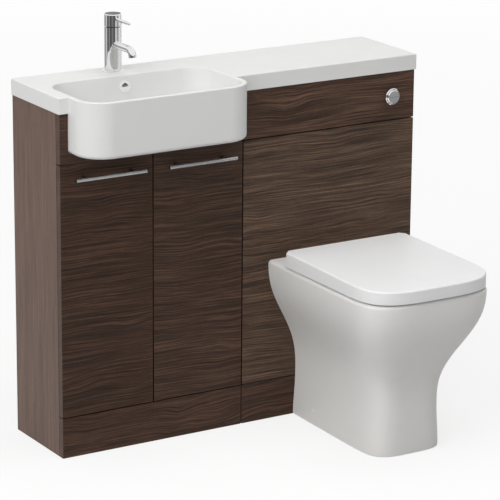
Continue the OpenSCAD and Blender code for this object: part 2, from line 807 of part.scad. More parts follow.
module tap_lever() from_wall() chrome() at_tap(lever_z) {
    translate([0, -lever_root, 0]) bar_y(lever_r, lever_reach - lever_root - lever_r);
    translate([0, -(lever_reach - lever_r), 0]) sphere(lever_r);
}

// Ring at the spout's end, with the holes that the water leaves by
module tap_aerator() from_wall() chrome() at_tap() at_spout_end() difference() {
    cylinder(r = spout_d / 2, h = aerator_h);
    translate([0, 0, aerator_h - aerator_recess]) cylinder(r = spout_d / 2 - spout_wall / 2, h = aerator_h);
    for (a = [0:60:300]) rotate([0, 0, a]) translate([aerator_hole_at, 0, -past])
        cylinder(r = aerator_hole_r, h = aerator_h + 2 * past);
}

/* ---- Doors, handles and hinges ---- */

// Children are drawn from a door's outer front edge, u inwards and v to the back
module at_left_door() translate([-unit_w, face_y, 0]) children();
module at_right_door() translate([-half_gap, face_y, 0]) mirror([1, 0, 0]) children();

module door() walnut() difference() {
    board([0, 0, door_z0], [door_w, front_t, door_z1]);
    for (z = hinge_zs) translate([cup_u, front_t - cup_depth, z]) rotate([-90, 0, 0])
        cylinder(d = cup_d, h = cup_depth + past);
    at_posts() translate([0, -past, 0]) rotate([-90, 0, 0])
        cylinder(d = screw_d + screw_clear, h = front_t + 2 * past);
}

// Children at the two places where a handle's posts meet the door
module at_posts() for (s = [-1, 1]) translate([door_w / 2 + s * handle_pitch / 2, 0, handle_z]) children();

module handle() steel() difference() {
    union() {
        translate([door_w / 2 - handle_l / 2, -handle_out, handle_z]) bar_x(handle_d / 2, handle_l);
        at_posts() bar_y(handle_post_d / 2, handle_out);
    }
    at_posts() translate([0, past, 0]) bar_y(screw_d / 2, thread_l + past);
}

module handle_screws() steel() at_posts() {
    translate([0, front_t + screw_head_h, 0]) bar_y(screw_d, screw_head_h);
    translate([0, front_t + screw_head_h / 2, 0]) bar_y(screw_d / 2 - run_clear, front_t + thread_l - 2);
}

// Steel cups in the door's back, with their ears
module hinge_cups() steel() for (z = hinge_zs) translate([cup_u, front_t, z]) difference() {
    union() {
        translate([0, -cup_depth, 0]) rotate([-90, 0, 0]) cylinder(d = cup_d - 2 * run_clear, h = cup_depth);
        board([cup_d / 2 + cup_ear_out - cup_ear_w, 0, -cup_ear_l / 2],
            [cup_d / 2 + cup_ear_out, cup_t, cup_ear_l / 2]);
    }
    translate([0, cup_t - cup_depth, 0]) rotate([-90, 0, 0]) cylinder(d = cup_d - 2 * cup_t, h = cup_depth + past);
}

// Swinging links between the arms and the cups
module hinge_links() steel() for (z = hinge_zs)
    translate([link_u, link_v, z - link_h / 2]) rotate([0, 0, link_angle]) difference() {
        union() {
            board([0, -link_t / 2, 0], [link_l, link_t / 2, link_h]);
            cylinder(r = link_eye_r, h = link_h);
            translate([link_l, 0, 0]) cylinder(r = link_t / 2, h = link_h);
        }
        translate([0, 0, -past]) cylinder(r = link_pin_r + run_clear, h = link_h + 2 * past);
    }

// An arm: its plate on the side panel, the arm itself and two ears with the link's pin
module hinge_arm(side_u) for (z = hinge_zs) {
    ear_z = link_h / 2 + seat_clear;
    end_z = ear_z + ear_t;
    arm_v = link_v + ear_d - 1;
    board([side_u, arm_v + 4, z - plate_h / 2], [side_u + ear_t, arm_v + 4 + plate_l, z + plate_h / 2]);
    board([side_u + ear_t, arm_v, z - plate_h / 4], [side_u + plate_t, arm_v + plate_l, z + plate_h / 4]);
    board([side_u + ear_t, arm_v, z - end_z], [link_u + link_eye_r, arm_v + ear_d - 3, z + end_z]);
    for (z1 = [z - end_z, z + ear_z]) board([link_u - link_eye_r, link_v - link_eye_r, z1],
        [link_u + link_eye_r, link_v + ear_d, z1 + ear_t]);
    translate([link_u, link_v, z - end_z]) cylinder(r = link_pin_r, h = 2 * end_z);
}

module left_door() from_wall() at_left_door() door();
module right_door() from_wall() at_right_door() door();
module left_handle() from_wall() at_left_door() handle();
module right_handle() from_wall() at_right_door() handle();
module left_handle_screws() from_wall() at_left_door() handle_screws();
module right_handle_screws() from_wall() at_right_door() handle_screws();
module left_hinge_cups() from_wall() at_left_door() hinge_cups();
module right_hinge_cups() from_wall() at_right_door() hinge_cups();
module left_hinge_links() from_wall() at_left_door() hinge_links();
module right_hinge_links() from_wall() at_right_door() hinge_links();
module hinge_arms() from_wall() steel() {
    at_left_door() hinge_arm(board_t);
    at_right_door() hinge_arm(board_t - half_gap);
}

/* ---- Toilet ---- */

module at_pan() translate([wc_x, face_y, 0]) children();

// Half width, reach and front corner of the pan at each height. From the waist up the walls
// sweep out to the rim along an S, sideways a little later than forwards.
function blend(a, b, t) = a + (b - a) * t;
function ease(t) = let (u = min(max(t, 0), 1)) u * u * (3 - 2 * u);
function s_curve(t) = let (u = min(max(t, 0), 1)) u * u * u * (u * (u * 6 - 15) + 10);
function rise(z) = max(0, (z - waist_z) / (pan_h - waist_z));
function foot(z) = ease(1 - z / waist_z);
function pan_half_w(z) = blend(blend(pan_waist_w, pan_w, s_curve(pow(rise(z), waist_lag))), pan_base_w, foot(z)) / 2;
function pan_front(z) = blend(blend(waist_reach, pan_reach, s_curve(rise(z))), base_reach, foot(z));
function pan_corner(z) = blend(pan_corner_base, pan_corner_top, s_curve(rise(z)));
pan_levels = [for (i = [0:12]) (pan_h - rim_fade) * i / 12];

module pan_body() loft(concat(
    [for (z = pan_levels) [z, d_outline(pan_half_w(z), pan_front(z), pan_corner(z), pan_taper, 1)]],
    [for (i = [1:3]) let (a = 30 * i, inset = rim_fade * (1 - cos(a)))
        [pan_h - rim_fade + rim_fade * sin(a),
            d_outline(pan_half_w(pan_h) - inset, pan_front(pan_h) - inset, pan_corner_top - inset, pan_taper, 1)]]));

// The space behind the pan's walls, open at the back and at the floor, and through the deck on demand
function space_outline(z, wall) = d_outline(pan_half_w(z) - wall, pan_front(z) - wall + past,
    pan_corner(z) - wall, pan_taper, 0.5);
module pan_space(wall, through_deck) translate([0, past, 0]) loft(concat(
    [for (i = [0:6]) let (z = blend(-past, pan_h - deck_t, i / 6)) [z, space_outline(max(z, 0), wall)]],
    through_deck ? [[pan_h + past, space_outline(pan_h, wall)]] : []));

// The bowl: from its opening down to the sump. grow makes its outer wall
function bowl_ring(t, grow) = let (k = pow(t, bowl_curve))
    oval(blend(sump_hw, opening_hw, k) + grow, blend(opening_back + sump_back, opening_back, k) - grow,
        blend(opening_front - sump_front, opening_front, k) + grow, blend(2, opening_n, t));
module toilet_bowl(grow, top) loft([for (t = [0, 0.04, 0.12, 0.24, 0.4, 0.6, 0.8, 1])
    [blend(sump_z - grow, top, t), bowl_ring(t, grow)]]);

// The way from the sump up and back to the soil spigot
module trapway(r, back) hull() {
    translate([0, -opening_back - trapway_in, sump_z + trapway_rise]) sphere(r, $fn = trapway_fn);
    translate([0, -back, outlet_z]) bar_y(r, 1, $fn = trapway_fn);
}

// The outside, rim and foot are cast as one shell
module pan_shell() difference() {
    pan_body();
    pan_space(pan_wall, false);
    intersection() {
        toilet_bowl(pan_wall + seat_clear, pan_h + past);
        board([-pan_w, -2 * pan_reach, pan_h - deck_t - past], [pan_w, 0, pan_h + 2 * past]);
    }
    for (s = [-1, 1]) {
        translate([s * hinge_pitch / 2, -hinge_back, pan_h - deck_t - past])
            cylinder(r = post_hole_r, h = deck_t + 2 * past);
        translate([s * (fixing_x - 2 * pan_wall), -fixing_cap_y, fixing_cap_z])
            rotate([0, 90 * s, 0]) cylinder(r = fixing_hole_r, h = 4 * pan_wall);
    }
}

// The bowl is cast with its trapway, soil spigot and inlet, and set into the shell
module pan_bowl() difference() {
    union() {
        intersection() {
            toilet_bowl(pan_wall, pan_h);
            pan_space(pan_wall + seat_clear, true);
        }
        trapway(outlet_r + trapway_wall, trapway_back);
        translate([0, spigot_l, outlet_z]) bar_y(spigot_d / 2, spigot_l + spigot_in);
        translate([0, 0, inlet_z]) bar_y(inlet_r + inlet_wall, opening_back + pan_wall / 2);
    }
    toilet_bowl(0, pan_h + past);
    trapway(outlet_r - 2, trapway_back + spigot_clear + 2);
    translate([0, spigot_l + past, outlet_z]) bar_y(outlet_r, spigot_l + spigot_in);
    translate([0, past, inlet_z]) bar_y(inlet_r, inlet_socket_l);
    translate([0, 0, inlet_z]) bar_y(flush_way_r, opening_back + 2 * pan_wall);
}

module pan() from_wall() ceramic() at_pan() {
    pan_shell();
    pan_bowl();
}

// Where the pan's side stands at the height and place of its floor fixings
fixing_x = pan_half_w(fixing_cap_z)
    - pan_taper * (1 - fixing_cap_y / (pan_front(fixing_cap_z) - pan_corner(fixing_cap_z)));

// Screws through the sides of the pan into brackets on the floor, with their caps
module pan_fixings() from_wall() plastic() at_pan() for (s = [-1, 1]) translate([0, -fixing_cap_y, 0]) {
    bracket_x = fixing_x - pan_wall - fixing_bracket_w / 2 - fixing_gap;
    half = [fixing_bracket_w / 2, fixing_bracket_l / 2];
    translate([s * (fixing_x + cap_gap), 0, fixing_cap_z]) rotate([0, 90 * s, 0])
        cylinder(r = fixing_cap_r, h = 2);
    translate([s * (bracket_x + half[0] - fixing_bracket_t), 0, fixing_cap_z]) rotate([0, 90 * s, 0])
        cylinder(r = fixing_screw_r, h = pan_wall + fixing_gap + fixing_bracket_t);
    difference() {
        board([s * bracket_x - half[0], -half[1], 0], [s * bracket_x + half[0], half[1], fixing_bracket_h]);
        translate([-s * fixing_bracket_t, 0, fixing_bracket_t])
            board([s * bracket_x - half[0], fixing_bracket_t - half[1], 0],
                [s * bracket_x + half[0], half[1] - fixing_bracket_t, fixing_bracket_h]);
    }
}

module pan_connector() from_wall() plastic() translate([wc_x, 0, outlet_z]) difference() {
    union() {
        bar_y(connector_r, -socket_y1 + connector_wall);
        translate([0, socket_y1 + connector_wall, 0]) bar_y(socket_r, socket_y1 - socket_y0 + connector_wall);
    }
    translate([0, past, 0]) bar_y(connector_r - connector_wall - 5, -face_y);
    translate([0, socket_y1, 0]) bar_y(spigot_d / 2 + rubber_grip, socket_y1 - socket_y0 + past);
}

// Posts on the pan's deck with the pins that seat and lid turn on, and their wing nuts
module seat_hinge_posts() from_wall() chrome() at_pan() for (s = [-1, 1])
    translate([s * hinge_pitch / 2, -hinge_back, 0]) {
        translate([0, 0, pan_h]) cylinder(r = post_plate_r, h = post_plate_t);
        board([-post_w / 2, -post_d / 2, pan_h + post_plate_t / 2], [post_w / 2, post_d / 2, axis_z]);
        translate([-post_w / 2, 0, axis_z]) bar_x(post_d / 2, post_w);
        translate([-post_w / 2 - lug_w - 1, 0, axis_z]) bar_x(pin_r, post_w + 2 * lug_w + 2);
        translate([0, 0, pan_h - deck_t - post_stud_out])
            cylinder(r = post_stud_r, h = deck_t + post_stud_out + past);
        translate([0, 0, pan_h - deck_t - post_nut_h]) cylinder(r = post_nut_r, h = post_nut_h);
        translate([0, 0, pan_h - deck_t - post_nut_h / 2]) cube(post_wings, center = true);
    }

// Side of the post that a lug sits on: seat lugs outside, lid lugs inside
module lug(s, outward) {
    x0 = outward ? hinge_pitch / 2 + post_w / 2 + lug_gap : hinge_pitch / 2 - post_w / 2 - lug_gap - lug_w;
    translate([s > 0 ? x0 : -x0 - lug_w, -hinge_back, axis_z]) children();
}

module seat() from_wall() ceramic() at_pan() difference() {
    union() {
        translate([0, 0, seat_z0]) linear_extrude(seat_t) difference() {
            translate([0, -seat_back]) polygon(d_outline(lid_w / 2 - seat_inset,
                lid_reach - seat_inset - seat_back, lid_corner - seat_inset, lid_taper, seat_back_r, lid_n));
            polygon(oval(opening_hw - seat_cover[0], opening_back + seat_cover[1],
                opening_front - seat_cover[2], opening_n));
        }
        for (s = [-1, 1]) lug(s, true) {
            bar_x(barrel_r, lug_w);
            board([0, -seat_arm_l, -barrel_r], [lug_w, 0, seat_z1 - axis_z]);
        }
    }
    for (s = [-1, 1]) lug(s, true) translate([-past, 0, 0]) bar_x(pin_r + run_clear, lug_w + 2 * past);
}

// Buffers under the seat and under the lid stand at the same four places
buffer_places = [for (p = [[opening_hw + buffer_out, -opening_back - buffer_from_hinge],
    [opening_hw - buffer_in, buffer_from_front - opening_front]], s = [-1, 1]) [s * p[0], p[1]]];

module seat_buffers() from_wall() plastic() at_pan() for (p = buffer_places)
    translate([p[0], p[1], pan_h + buffer_gap]) cylinder(d = buffer_d, h = seat_gap - buffer_gap);

function lid_outline(inset) = [for (p = d_outline(lid_w / 2 - inset, lid_reach - lid_back - 2 * inset,
    lid_corner - inset, lid_taper, lid_back_r, lid_n)) [p[0], p[1] - inset]];
function lid_cavity_outline() = [for (p = d_outline(lid_w / 2 - lid_t, lid_reach - lid_back - lid_t + past,
    lid_corner - lid_t, lid_taper, lid_back_r + lid_t * (sqrt(2) - 1), lid_n)) [p[0], p[1] + past]];

// Lid: a shell that comes down over the seat, open at its underside and at its back. Its top
// and its underside fall towards the front.
module lid() from_wall() ceramic() at_pan() difference() {
    translate([0, -lid_back, 0]) loft(concat([[skirt_z, lid_outline(0), 0]],
        [for (i = [0:3]) let (a = 30 * i)
            [lid_z1 - lid_edge * (1 - sin(a)), lid_outline(lid_edge * (1 - cos(a))), lid_slope]]));
    difference() {
        translate([0, -lid_back, 0]) loft([[skirt_z - past, lid_cavity_outline(), 0],
            [lid_z1 - lid_t, lid_cavity_outline(), lid_slope]]);
        for (s = [-1, 1]) lug(s, false) {
            bar_x(barrel_r, lug_w);
            board([0, -barrel_r, 0], [lug_w, barrel_r, barrel_r + 4]);
        }
    }
    for (s = [-1, 1]) lug(s, false) translate([-past, 0, 0]) bar_x(pin_r + run_clear, lug_w + 2 * past);
    // the skirt's back ends follow circles about the hinge line, to clear the pan and the seat
    for (c = [[lid_w / 2 + past, skirt_sweep_r], [lid_w / 2 - seat_inset + 1, seat_back - hinge_back - 0.5]])
        difference() {
            board([-c[0], -hinge_back, skirt_z - past], [c[0], -lid_back + past, axis_z]);
            translate([-c[0] - past, -hinge_back, axis_z]) bar_x(c[1], 2 * (c[0] + past));
        }
}

// How far a lid buffer reaches down from the sloping underside
function lid_buffer_l(y) = lid_z1 - lid_t - (-y - lid_back) * lid_slope - seat_z1 - seat_clear;
module lid_buffers() from_wall() plastic() at_pan() for (p = buffer_places)
    translate([p[0], p[1], seat_z1 + seat_clear])
        cylinder(d = buffer_d - 2, h = lid_buffer_l(p[1] - buffer_d / 2 + 1));

/* ---- Cistern and flush ---- */

module at_cistern() translate([wc_x, cistern_y1, cistern_z]) children();
module tank_space(wall, z0, z1) translate([-cistern_w / 2 + wall, -cistern_d + wall, z0])
    cube([cistern_w - 2 * wall, cistern_d - 2 * wall, z1 - z0]);

// Tank on the cistern rail, with holes for the flush valve and the water inlet
module cistern_tank() from_wall() plastic() at_cistern() difference() {
    tank_space(0, 0, cistern_h);
    tank_space(cistern_wall, cistern_wall, cistern_h + past);
    translate([flush_x, -cistern_d / 2, -past]) cylinder(r = flush_tail_r + 1, h = cistern_wall + 2 * past);
    translate([fill_x, -cistern_d / 2, -past]) cylinder(r = inlet_tail_r + seat_clear, h = cistern_wall + 2 * past);
}

module cistern_lid() from_wall() plastic() at_cistern() difference() {
    translate([-cistern_w / 2 - tank_lid_rim, -cistern_d - tank_lid_rim, cistern_h - tank_lid_h])
        cube([cistern_w + 2 * tank_lid_rim, cistern_d + tank_lid_rim, tank_lid_h + tank_lid_t]);
    translate([-cistern_w / 2 - seat_clear, -cistern_d - seat_clear, cistern_h - tank_lid_h - past])
        cube([cistern_w + 2 * seat_clear, cistern_d + seat_clear + past, tank_lid_h + past]);
}

// Water inlet and fill valve, which the float rides on
module fill_valve() from_wall() plastic() at_cistern() translate([fill_x, -cistern_d / 2, 0]) difference() {
    union() {
        translate([0, 0, -inlet_tail_l]) cylinder(r = inlet_tail_r, h = inlet_tail_l + cistern_wall + past);
        translate([0, 0, cistern_wall]) cylinder(r = fill_foot_r, h = fill_foot_h);
        translate([0, 0, cistern_wall + fill_foot_h])
            cylinder(r = fill_tube_r, h = cistern_h - cistern_wall - fill_foot_h - fill_head_drop);
        translate([0, 0, -fill_nut_h]) cylinder(r = fill_nut_r, h = fill_nut_h, $fn = 6);
        translate([0, 0, cistern_h - fill_head_drop]) cylinder(r = fill_head_r, h = fill_head_h);
    }
    translate([0, 0, -inlet_tail_l - past]) cylinder(r = fill_bore_r, h = inlet_tail_l + fill_foot_h);
}

module fill_float() from_wall() plastic() at_cistern() translate([fill_x, -cistern_d / 2, float_z]) difference() {
    cylinder(r = float_r, h = float_h);
    translate([0, 0, -past]) cylinder(r = fill_tube_r + seat_clear, h = float_h + 2 * past);
    translate([0, 0, -past]) difference() {
        cylinder(r = float_r - float_wall, h = float_h - float_top_t);
        cylinder(r = fill_tube_r + float_wall, h = float_h);
    }
}

// Flush valve's seat and guide basket in the tank, with the tail that passes its floor and the nut
module flush_valve() from_wall() plastic() at_cistern() translate([flush_x, -cistern_d / 2, 0]) difference() {
    union() {
        translate([0, 0, cistern_wall]) cylinder(r = valve_r, h = basket_h);
        translate([0, 0, -flush_tail_l]) cylinder(r = flush_tail_r, h = flush_tail_l + cistern_wall + past);
        translate([0, 0, -flush_nut_l]) cylinder(r = flush_tail_r + flush_nut_wall, h = flush_nut_l);
    }
    translate([0, 0, -flush_tail_l - past]) cylinder(r = valve_bore_r, h = flush_tail_l + valve_seat_z + 2 * past);
    translate([0, 0, -flush_tail_l - past]) cylinder(r = flush_pipe_d / 2 + seat_clear, h = flush_tail_l - flush_nut_l - 2);
    translate([0, 0, valve_seat_z]) cylinder(r = valve_r - cistern_wall, h = basket_h);
    // windows that let the water reach the seat
    for (a = [0, 90]) rotate([0, 0, a]) translate([0, 0, valve_seat_z + basket_h * 0.3])
        cube([3 * valve_r, valve_r, basket_h * 0.4], center = true);
}

// The part of the valve that the button lifts: its seal and the overflow tube
module flush_valve_lift() from_wall() plastic() at_cistern()
    translate([flush_x, -cistern_d / 2, valve_seat_z + seat_clear]) difference() {
        union() {
            cylinder(r = valve_bore_r + valve_seal_lap, h = valve_seal_t);
            cylinder(r = overflow_tube_r, h = overflow_tube_l);
        }
        translate([0, 0, -past]) cylinder(r = overflow_tube_r - overflow_tube_wall, h = overflow_tube_l + 2 * past);
    }

// Flush pipe from the valve's tail down and forward to the pan, with the sealing fins of its cone
module flush_route(r, forward_l, up_l) translate([0, -flush_bend_r, inlet_z + flush_bend_r])
    rotate([90, 0, 90]) elbow(r, flush_bend_r, -90, 0, forward_l, up_l);
module flush_pipe() from_wall() plastic() translate([wc_x + flush_x, flush_pipe_y, 0]) {
    pipe_r = flush_pipe_d / 2;
    up_l = cistern_z - flush_nut_l - 6 - inlet_z - flush_bend_r;
    forward_l = flush_pipe_y - face_y - flush_bend_r + cone_l;
    difference() {
        union() {
            flush_route(pipe_r, forward_l, up_l);
            for (k = [0:fins - 1])
                translate([0, -flush_bend_r - forward_l + fin_step * (k + 1) - 1, inlet_z])
                    bar_y(inlet_r - rubber_grip, fin_t);
        }
        flush_route(pipe_r - flush_wall, forward_l + past, up_l + past);
    }
}

module at_button() translate([button_x, face_y, button_z]) rotate([90, 0, 0]) children();

module flush_collar() from_wall() chrome() at_button() difference() {
    back_l = front_t + collar_nut_h + 5;
    union() {
        cylinder(d = collar_d, h = collar_h - edge_cut);
        translate([0, 0, collar_h - edge_cut]) cylinder(d1 = collar_d, d2 = collar_d - 2 * edge_cut, h = edge_cut);
        translate([0, 0, -back_l]) cylinder(r = collar_tail_r, h = back_l + skin);
        translate([0, 0, -front_t - collar_nut_h]) cylinder(r = collar_tail_r + 6, h = collar_nut_h);
    }
    translate([0, 0, 4 - back_l]) cylinder(r = button_r + seat_clear, h = back_l + collar_h);
    translate([0, 0, -back_l - past]) cylinder(r = 4, h = 4 + 2 * past);
}

// The button's face is split into a half flush above and a full flush below
module button_half(side) chrome() at_button() translate([0, 0, collar_h - button_l]) intersection() {
    button_h = button_l + button_proud;
    union() {
        cylinder(r = button_r, h = button_h - edge_cut);
        translate([0, 0, button_h - edge_cut]) cylinder(r1 = button_r, r2 = button_r - edge_cut, h = edge_cut);
    }
    board([-collar_d, side > 0 ? seat_clear : -collar_d, -past],
        [collar_d, side > 0 ? collar_d : -seat_clear, button_h + past]);
}
module half_flush_button() from_wall() button_half(1);
module full_flush_button() from_wall() button_half(-1);

basin_unit_left_side();
basin_unit_right_side();
basin_unit_floor();
basin_unit_rails();
cupboard_shelf();
shelf_pegs();
basin_fascia();
plinths();
wc_unit_left_side();
wc_unit_right_side();
wc_unit_rails();
wc_fascia();
wc_front_panel();
pads_and_bumpers();
wall_brackets();
basin_worktop();
overflow_ring();
click_waste();
waste_backnut();
waste_plug();
bottle_trap();
trap_cup();
trap_outlet_pipe();
tap_body();
tap_base_ring();
tap_fixing();
tap_cartridge();
tap_stem();
tap_cap();
tap_lever();
tap_aerator();
left_door();
right_door();
left_handle();
right_handle();
left_handle_screws();
right_handle_screws();
left_hinge_cups();
right_hinge_cups();
left_hinge_links();
right_hinge_links();
hinge_arms();
pan();
pan_fixings();
pan_connector();
seat_hinge_posts();
seat();
seat_buffers();
lid();
lid_buffers();
cistern_tank();
cistern_lid();
fill_valve();
fill_float();
flush_valve();
flush_valve_lift();
flush_pipe();
flush_collar();
half_flush_button();
full_flush_button();
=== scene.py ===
# %% [markdown]
# # Dressing a toilet and basin unit
# The part is a bathroom unit in two halves. On the left a walnut cupboard carries a moulded basin
# with a mixer tap, on the right a cabinet hides the cistern of a back-to-wall toilet. Its solids
# come from a CAD model and stay exactly where they are. This lesson gives them their finishes, and
# models again, more finely than the CAD does, the forms that the light plays over: the moulded top,
# the glazed pan, the seat and the lid.

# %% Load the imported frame
import json
import math
import bmesh
import bpy
from mathutils import Matrix, Vector

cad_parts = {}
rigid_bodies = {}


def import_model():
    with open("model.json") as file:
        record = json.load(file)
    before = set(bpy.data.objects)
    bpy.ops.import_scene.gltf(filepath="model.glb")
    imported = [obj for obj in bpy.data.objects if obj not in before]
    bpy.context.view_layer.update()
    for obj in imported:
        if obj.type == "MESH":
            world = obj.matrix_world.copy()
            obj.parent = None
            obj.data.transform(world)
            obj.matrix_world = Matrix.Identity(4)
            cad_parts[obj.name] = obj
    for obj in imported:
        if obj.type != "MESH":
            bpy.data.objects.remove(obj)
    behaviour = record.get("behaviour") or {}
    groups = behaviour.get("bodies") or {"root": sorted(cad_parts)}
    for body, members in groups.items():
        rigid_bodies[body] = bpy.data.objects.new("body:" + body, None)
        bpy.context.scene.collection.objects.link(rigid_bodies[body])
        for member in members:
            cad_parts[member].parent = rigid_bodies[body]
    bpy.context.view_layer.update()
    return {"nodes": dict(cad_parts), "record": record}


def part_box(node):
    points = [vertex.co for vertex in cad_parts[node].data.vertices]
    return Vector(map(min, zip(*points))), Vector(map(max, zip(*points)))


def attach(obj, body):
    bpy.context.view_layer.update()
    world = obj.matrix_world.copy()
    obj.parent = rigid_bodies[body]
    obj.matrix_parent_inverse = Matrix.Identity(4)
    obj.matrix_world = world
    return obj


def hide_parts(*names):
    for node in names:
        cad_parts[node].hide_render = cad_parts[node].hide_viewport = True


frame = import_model()
MM = 0.001

# %% [markdown]
# ## Places and sizes
# Everything that can be read from the frame is read from it: the solids' boxes say where a form
# starts and ends. Only what a box can't tell, such as a corner's radius or a wall, is named, in the
# cell that needs it. Four helpers give a box's sides by name, so that later cells read like a
# cutting list.

# %% Read the boxes that later cells need
def low(node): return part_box(node)[0]
def high(node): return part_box(node)[1]
def middle(node): return (low(node) + high(node)) / 2
def span(node): return high(node) - low(node)

face_y = low("wc_front_panel").y
pan_x = middle("pan").x
rim_z = high("pan").z
top_z = high("basin_worktop").z
print("front faces at y", round(face_y, 4), "pan rim at z", round(rim_z, 4))

# %% [markdown]
# ## Rings, skins and cuts
# A moulding is easiest to think of as a stack of closed outlines. Each outline becomes a ring of
# vertices, and neighbouring rings are joined by quads. One helper makes such a skin, one turns a
# bmesh into an object, and one cuts or joins two closed meshes with the exact boolean solver.

# %% Stack rings into a skin
def skin(bm, rings, caps=True):
    loops = [[bm.verts.new(p) for p in ring] for ring in rings]
    n = len(loops[0])
    pairs = list(zip(loops, loops[1:])) + ([] if caps else [(loops[-1], loops[0])])
    for a, b in pairs:
        for i in range(n):
            bm.faces.new((a[i], a[(i + 1) % n], b[(i + 1) % n], b[i]))
    if caps:
        bm.faces.new(list(reversed(loops[0])))
        bm.faces.new(loops[-1])


def closed(rings, caps=True):
    bm = bmesh.new()
    skin(bm, rings, caps)
    bmesh.ops.recalc_face_normals(bm, faces=bm.faces)
    return bm


trial = closed([[(0, 0, z), (1, 0, z), (1, 1, z), (0, 1, z)] for z in (0, 1)])
print("two square rings make a skin of", len(trial.faces), "faces")
trial.free()

# %% Turn a bmesh into an object
def piece(name, bm):
    mesh = bpy.data.meshes.new(name)
    bm.to_mesh(mesh)
    bm.free()
    made = bpy.data.objects.new(name, mesh)
    bpy.context.scene.collection.objects.link(made)
    return made


print("objects before the first new piece:", len(bpy.context.scene.collection.all_objects))

# %% Apply what a modifier does, and cut or join
def settle(made):
    bpy.context.view_layer.update()
    seen = made.evaluated_get(bpy.context.evaluated_depsgraph_get())
    mesh = bpy.data.meshes.new_from_object(seen)
    made.modifiers.clear()
    made.data = mesh


def combine(made, rings, how):
    tool = piece("tool", closed(rings))
    step = made.modifiers.new("combine", "BOOLEAN")
    step.operation = how
    step.solver = SOLVER
    step.object = tool
    settle(made)
    bpy.data.objects.remove(tool)


def cut(made, rings): combine(made, rings, "DIFFERENCE")
def join(made, rings): combine(made, rings, "UNION")


SOLVER = "EXACT"
print("cuts and joins use the solver", SOLVER)

# %% Round the sharp edges and smooth the rest
SHARP_DEG, FLAT_DEG, SAME_POINT = 35, 0.05, 0.02 * MM
BEVEL_STEPS = 4


def smooth(made, sharp_deg):
    made.data.polygons.foreach_set("use_smooth", [True] * len(made.data.polygons))
    made.data.set_sharp_from_angle(angle=math.radians(sharp_deg))
    made.data.update()


def soften(made, radius, chosen):
    """Round the sharp edges that chosen picks and even out the shading of the flats beside them."""
    bm = bmesh.new()
    bm.from_mesh(made.data)
    bmesh.ops.remove_doubles(bm, verts=bm.verts, dist=SAME_POINT)
    bmesh.ops.dissolve_limit(bm, angle_limit=math.radians(FLAT_DEG), verts=bm.verts, edges=bm.edges)
    edges = [e for e in bm.edges
             if e.calc_face_angle(0) > math.radians(SHARP_DEG) and chosen(e)]
    bmesh.ops.bevel(bm, geom=edges, offset=radius, offset_type="OFFSET", segments=BEVEL_STEPS,
                    profile=0.5, affect="EDGES", clamp_overlap=False)
    bm.to_mesh(made.data)
    bm.free()
    smooth(made, SHARP_DEG)
    even = made.modifiers.new("even", "WEIGHTED_NORMAL")
    even.weight = 100
    even.keep_sharp = True
    settle(made)
    return len(edges)


print("an edge counts as sharp above", SHARP_DEG, "degrees")

# %% [markdown]
# ## Outlines
# The top's basin is a rounded rectangle, and the pan, seat and lid are a D with a squarish nose.
# Each outline is a function that gives points in one level plane. The nose is half a superellipse,
# whose power says how square it is: 2 is round, 4 is squarish. Its points are spaced evenly along
# the curve, because even angles would crowd them at the sides and leave the corners coarse.

# %% Arc and rounded rectangle
def arc(cx, cy, r, a0, a1, n):
    return [(cx + r * math.cos(math.radians(a0 + (a1 - a0) * i / n)),
             cy + r * math.sin(math.radians(a0 + (a1 - a0) * i / n))) for i in range(n + 1)]


def rounded_rect(x0, y0, x1, y1, r, n=24):
    return (arc(x1 - r, y1 - r, r, 0, 90, n) + arc(x0 + r, y1 - r, r, 90, 180, n)
            + arc(x0 + r, y0 + r, r, 180, 270, n) + arc(x1 - r, y0 + r, r, 270, 360, n))


def quarter(steps=6):
    """The angles from 0 to 90 degrees that round an edge in even steps."""
    return [math.radians(90 * i / steps) for i in range(steps + 1)]


print("points of a rounded rectangle:", len(rounded_rect(0, 0, 1, 1, 0.1)))

# %% Superellipse and D
PAN_POWER, SEAT_POWER = 4.0, 3.6
NOSE_STEPS, FINE_STEPS, FLAT_STEPS = 96, 2000, 24


def squarish(t, n):
    return math.copysign(abs(t) ** (2 / n), t)


def nose_angles(n):
    """Angles from 180 to 360 degrees whose points on the superellipse lie evenly apart."""
    fine = [math.pi + math.pi * i / FINE_STEPS for i in range(FINE_STEPS + 1)]
    pts = [(squarish(math.cos(a), n), squarish(math.sin(a), n)) for a in fine]
    run = [0.0]
    for p, q in zip(pts, pts[1:]):
        run.append(run[-1] + math.hypot(q[0] - p[0], q[1] - p[1]))
    picked, k = [], 0
    for i in range(NOSE_STEPS + 1):
        while k < FINE_STEPS and run[k] < run[-1] * i / NOSE_STEPS:
            k += 1
        picked.append(fine[k])
    return picked


NOSE = {n: nose_angles(n) for n in (PAN_POWER, SEAT_POWER)}


def d_shape(half, reach, corner, taper, back_r, n):
    """A D with its flat side at y = 0 and its nose towards -y."""
    start = reach - corner
    side = []
    for i in range(1, FLAT_STEPS):
        t = i / FLAT_STEPS
        side.append((-half + taper * (1 - t), -back_r - (start - back_r) * t))
    nose = [(half * squarish(math.cos(a), n), -start + corner * squarish(math.sin(a), n))
            for a in NOSE[n]]
    flat = half - taper - back_r
    return ([(-flat, 0.0), (-half + taper, -back_r)] + side + nose
            + [(-x, y) for x, y in reversed(side)] + [(half - taper, -back_r)]
            + [(flat - 2 * flat * i / FLAT_STEPS, 0.0) for i in range(FLAT_STEPS)])


print("points of a D:", len(d_shape(0.2, 0.4, 0.1, 0.01, 0.01, PAN_POWER)))

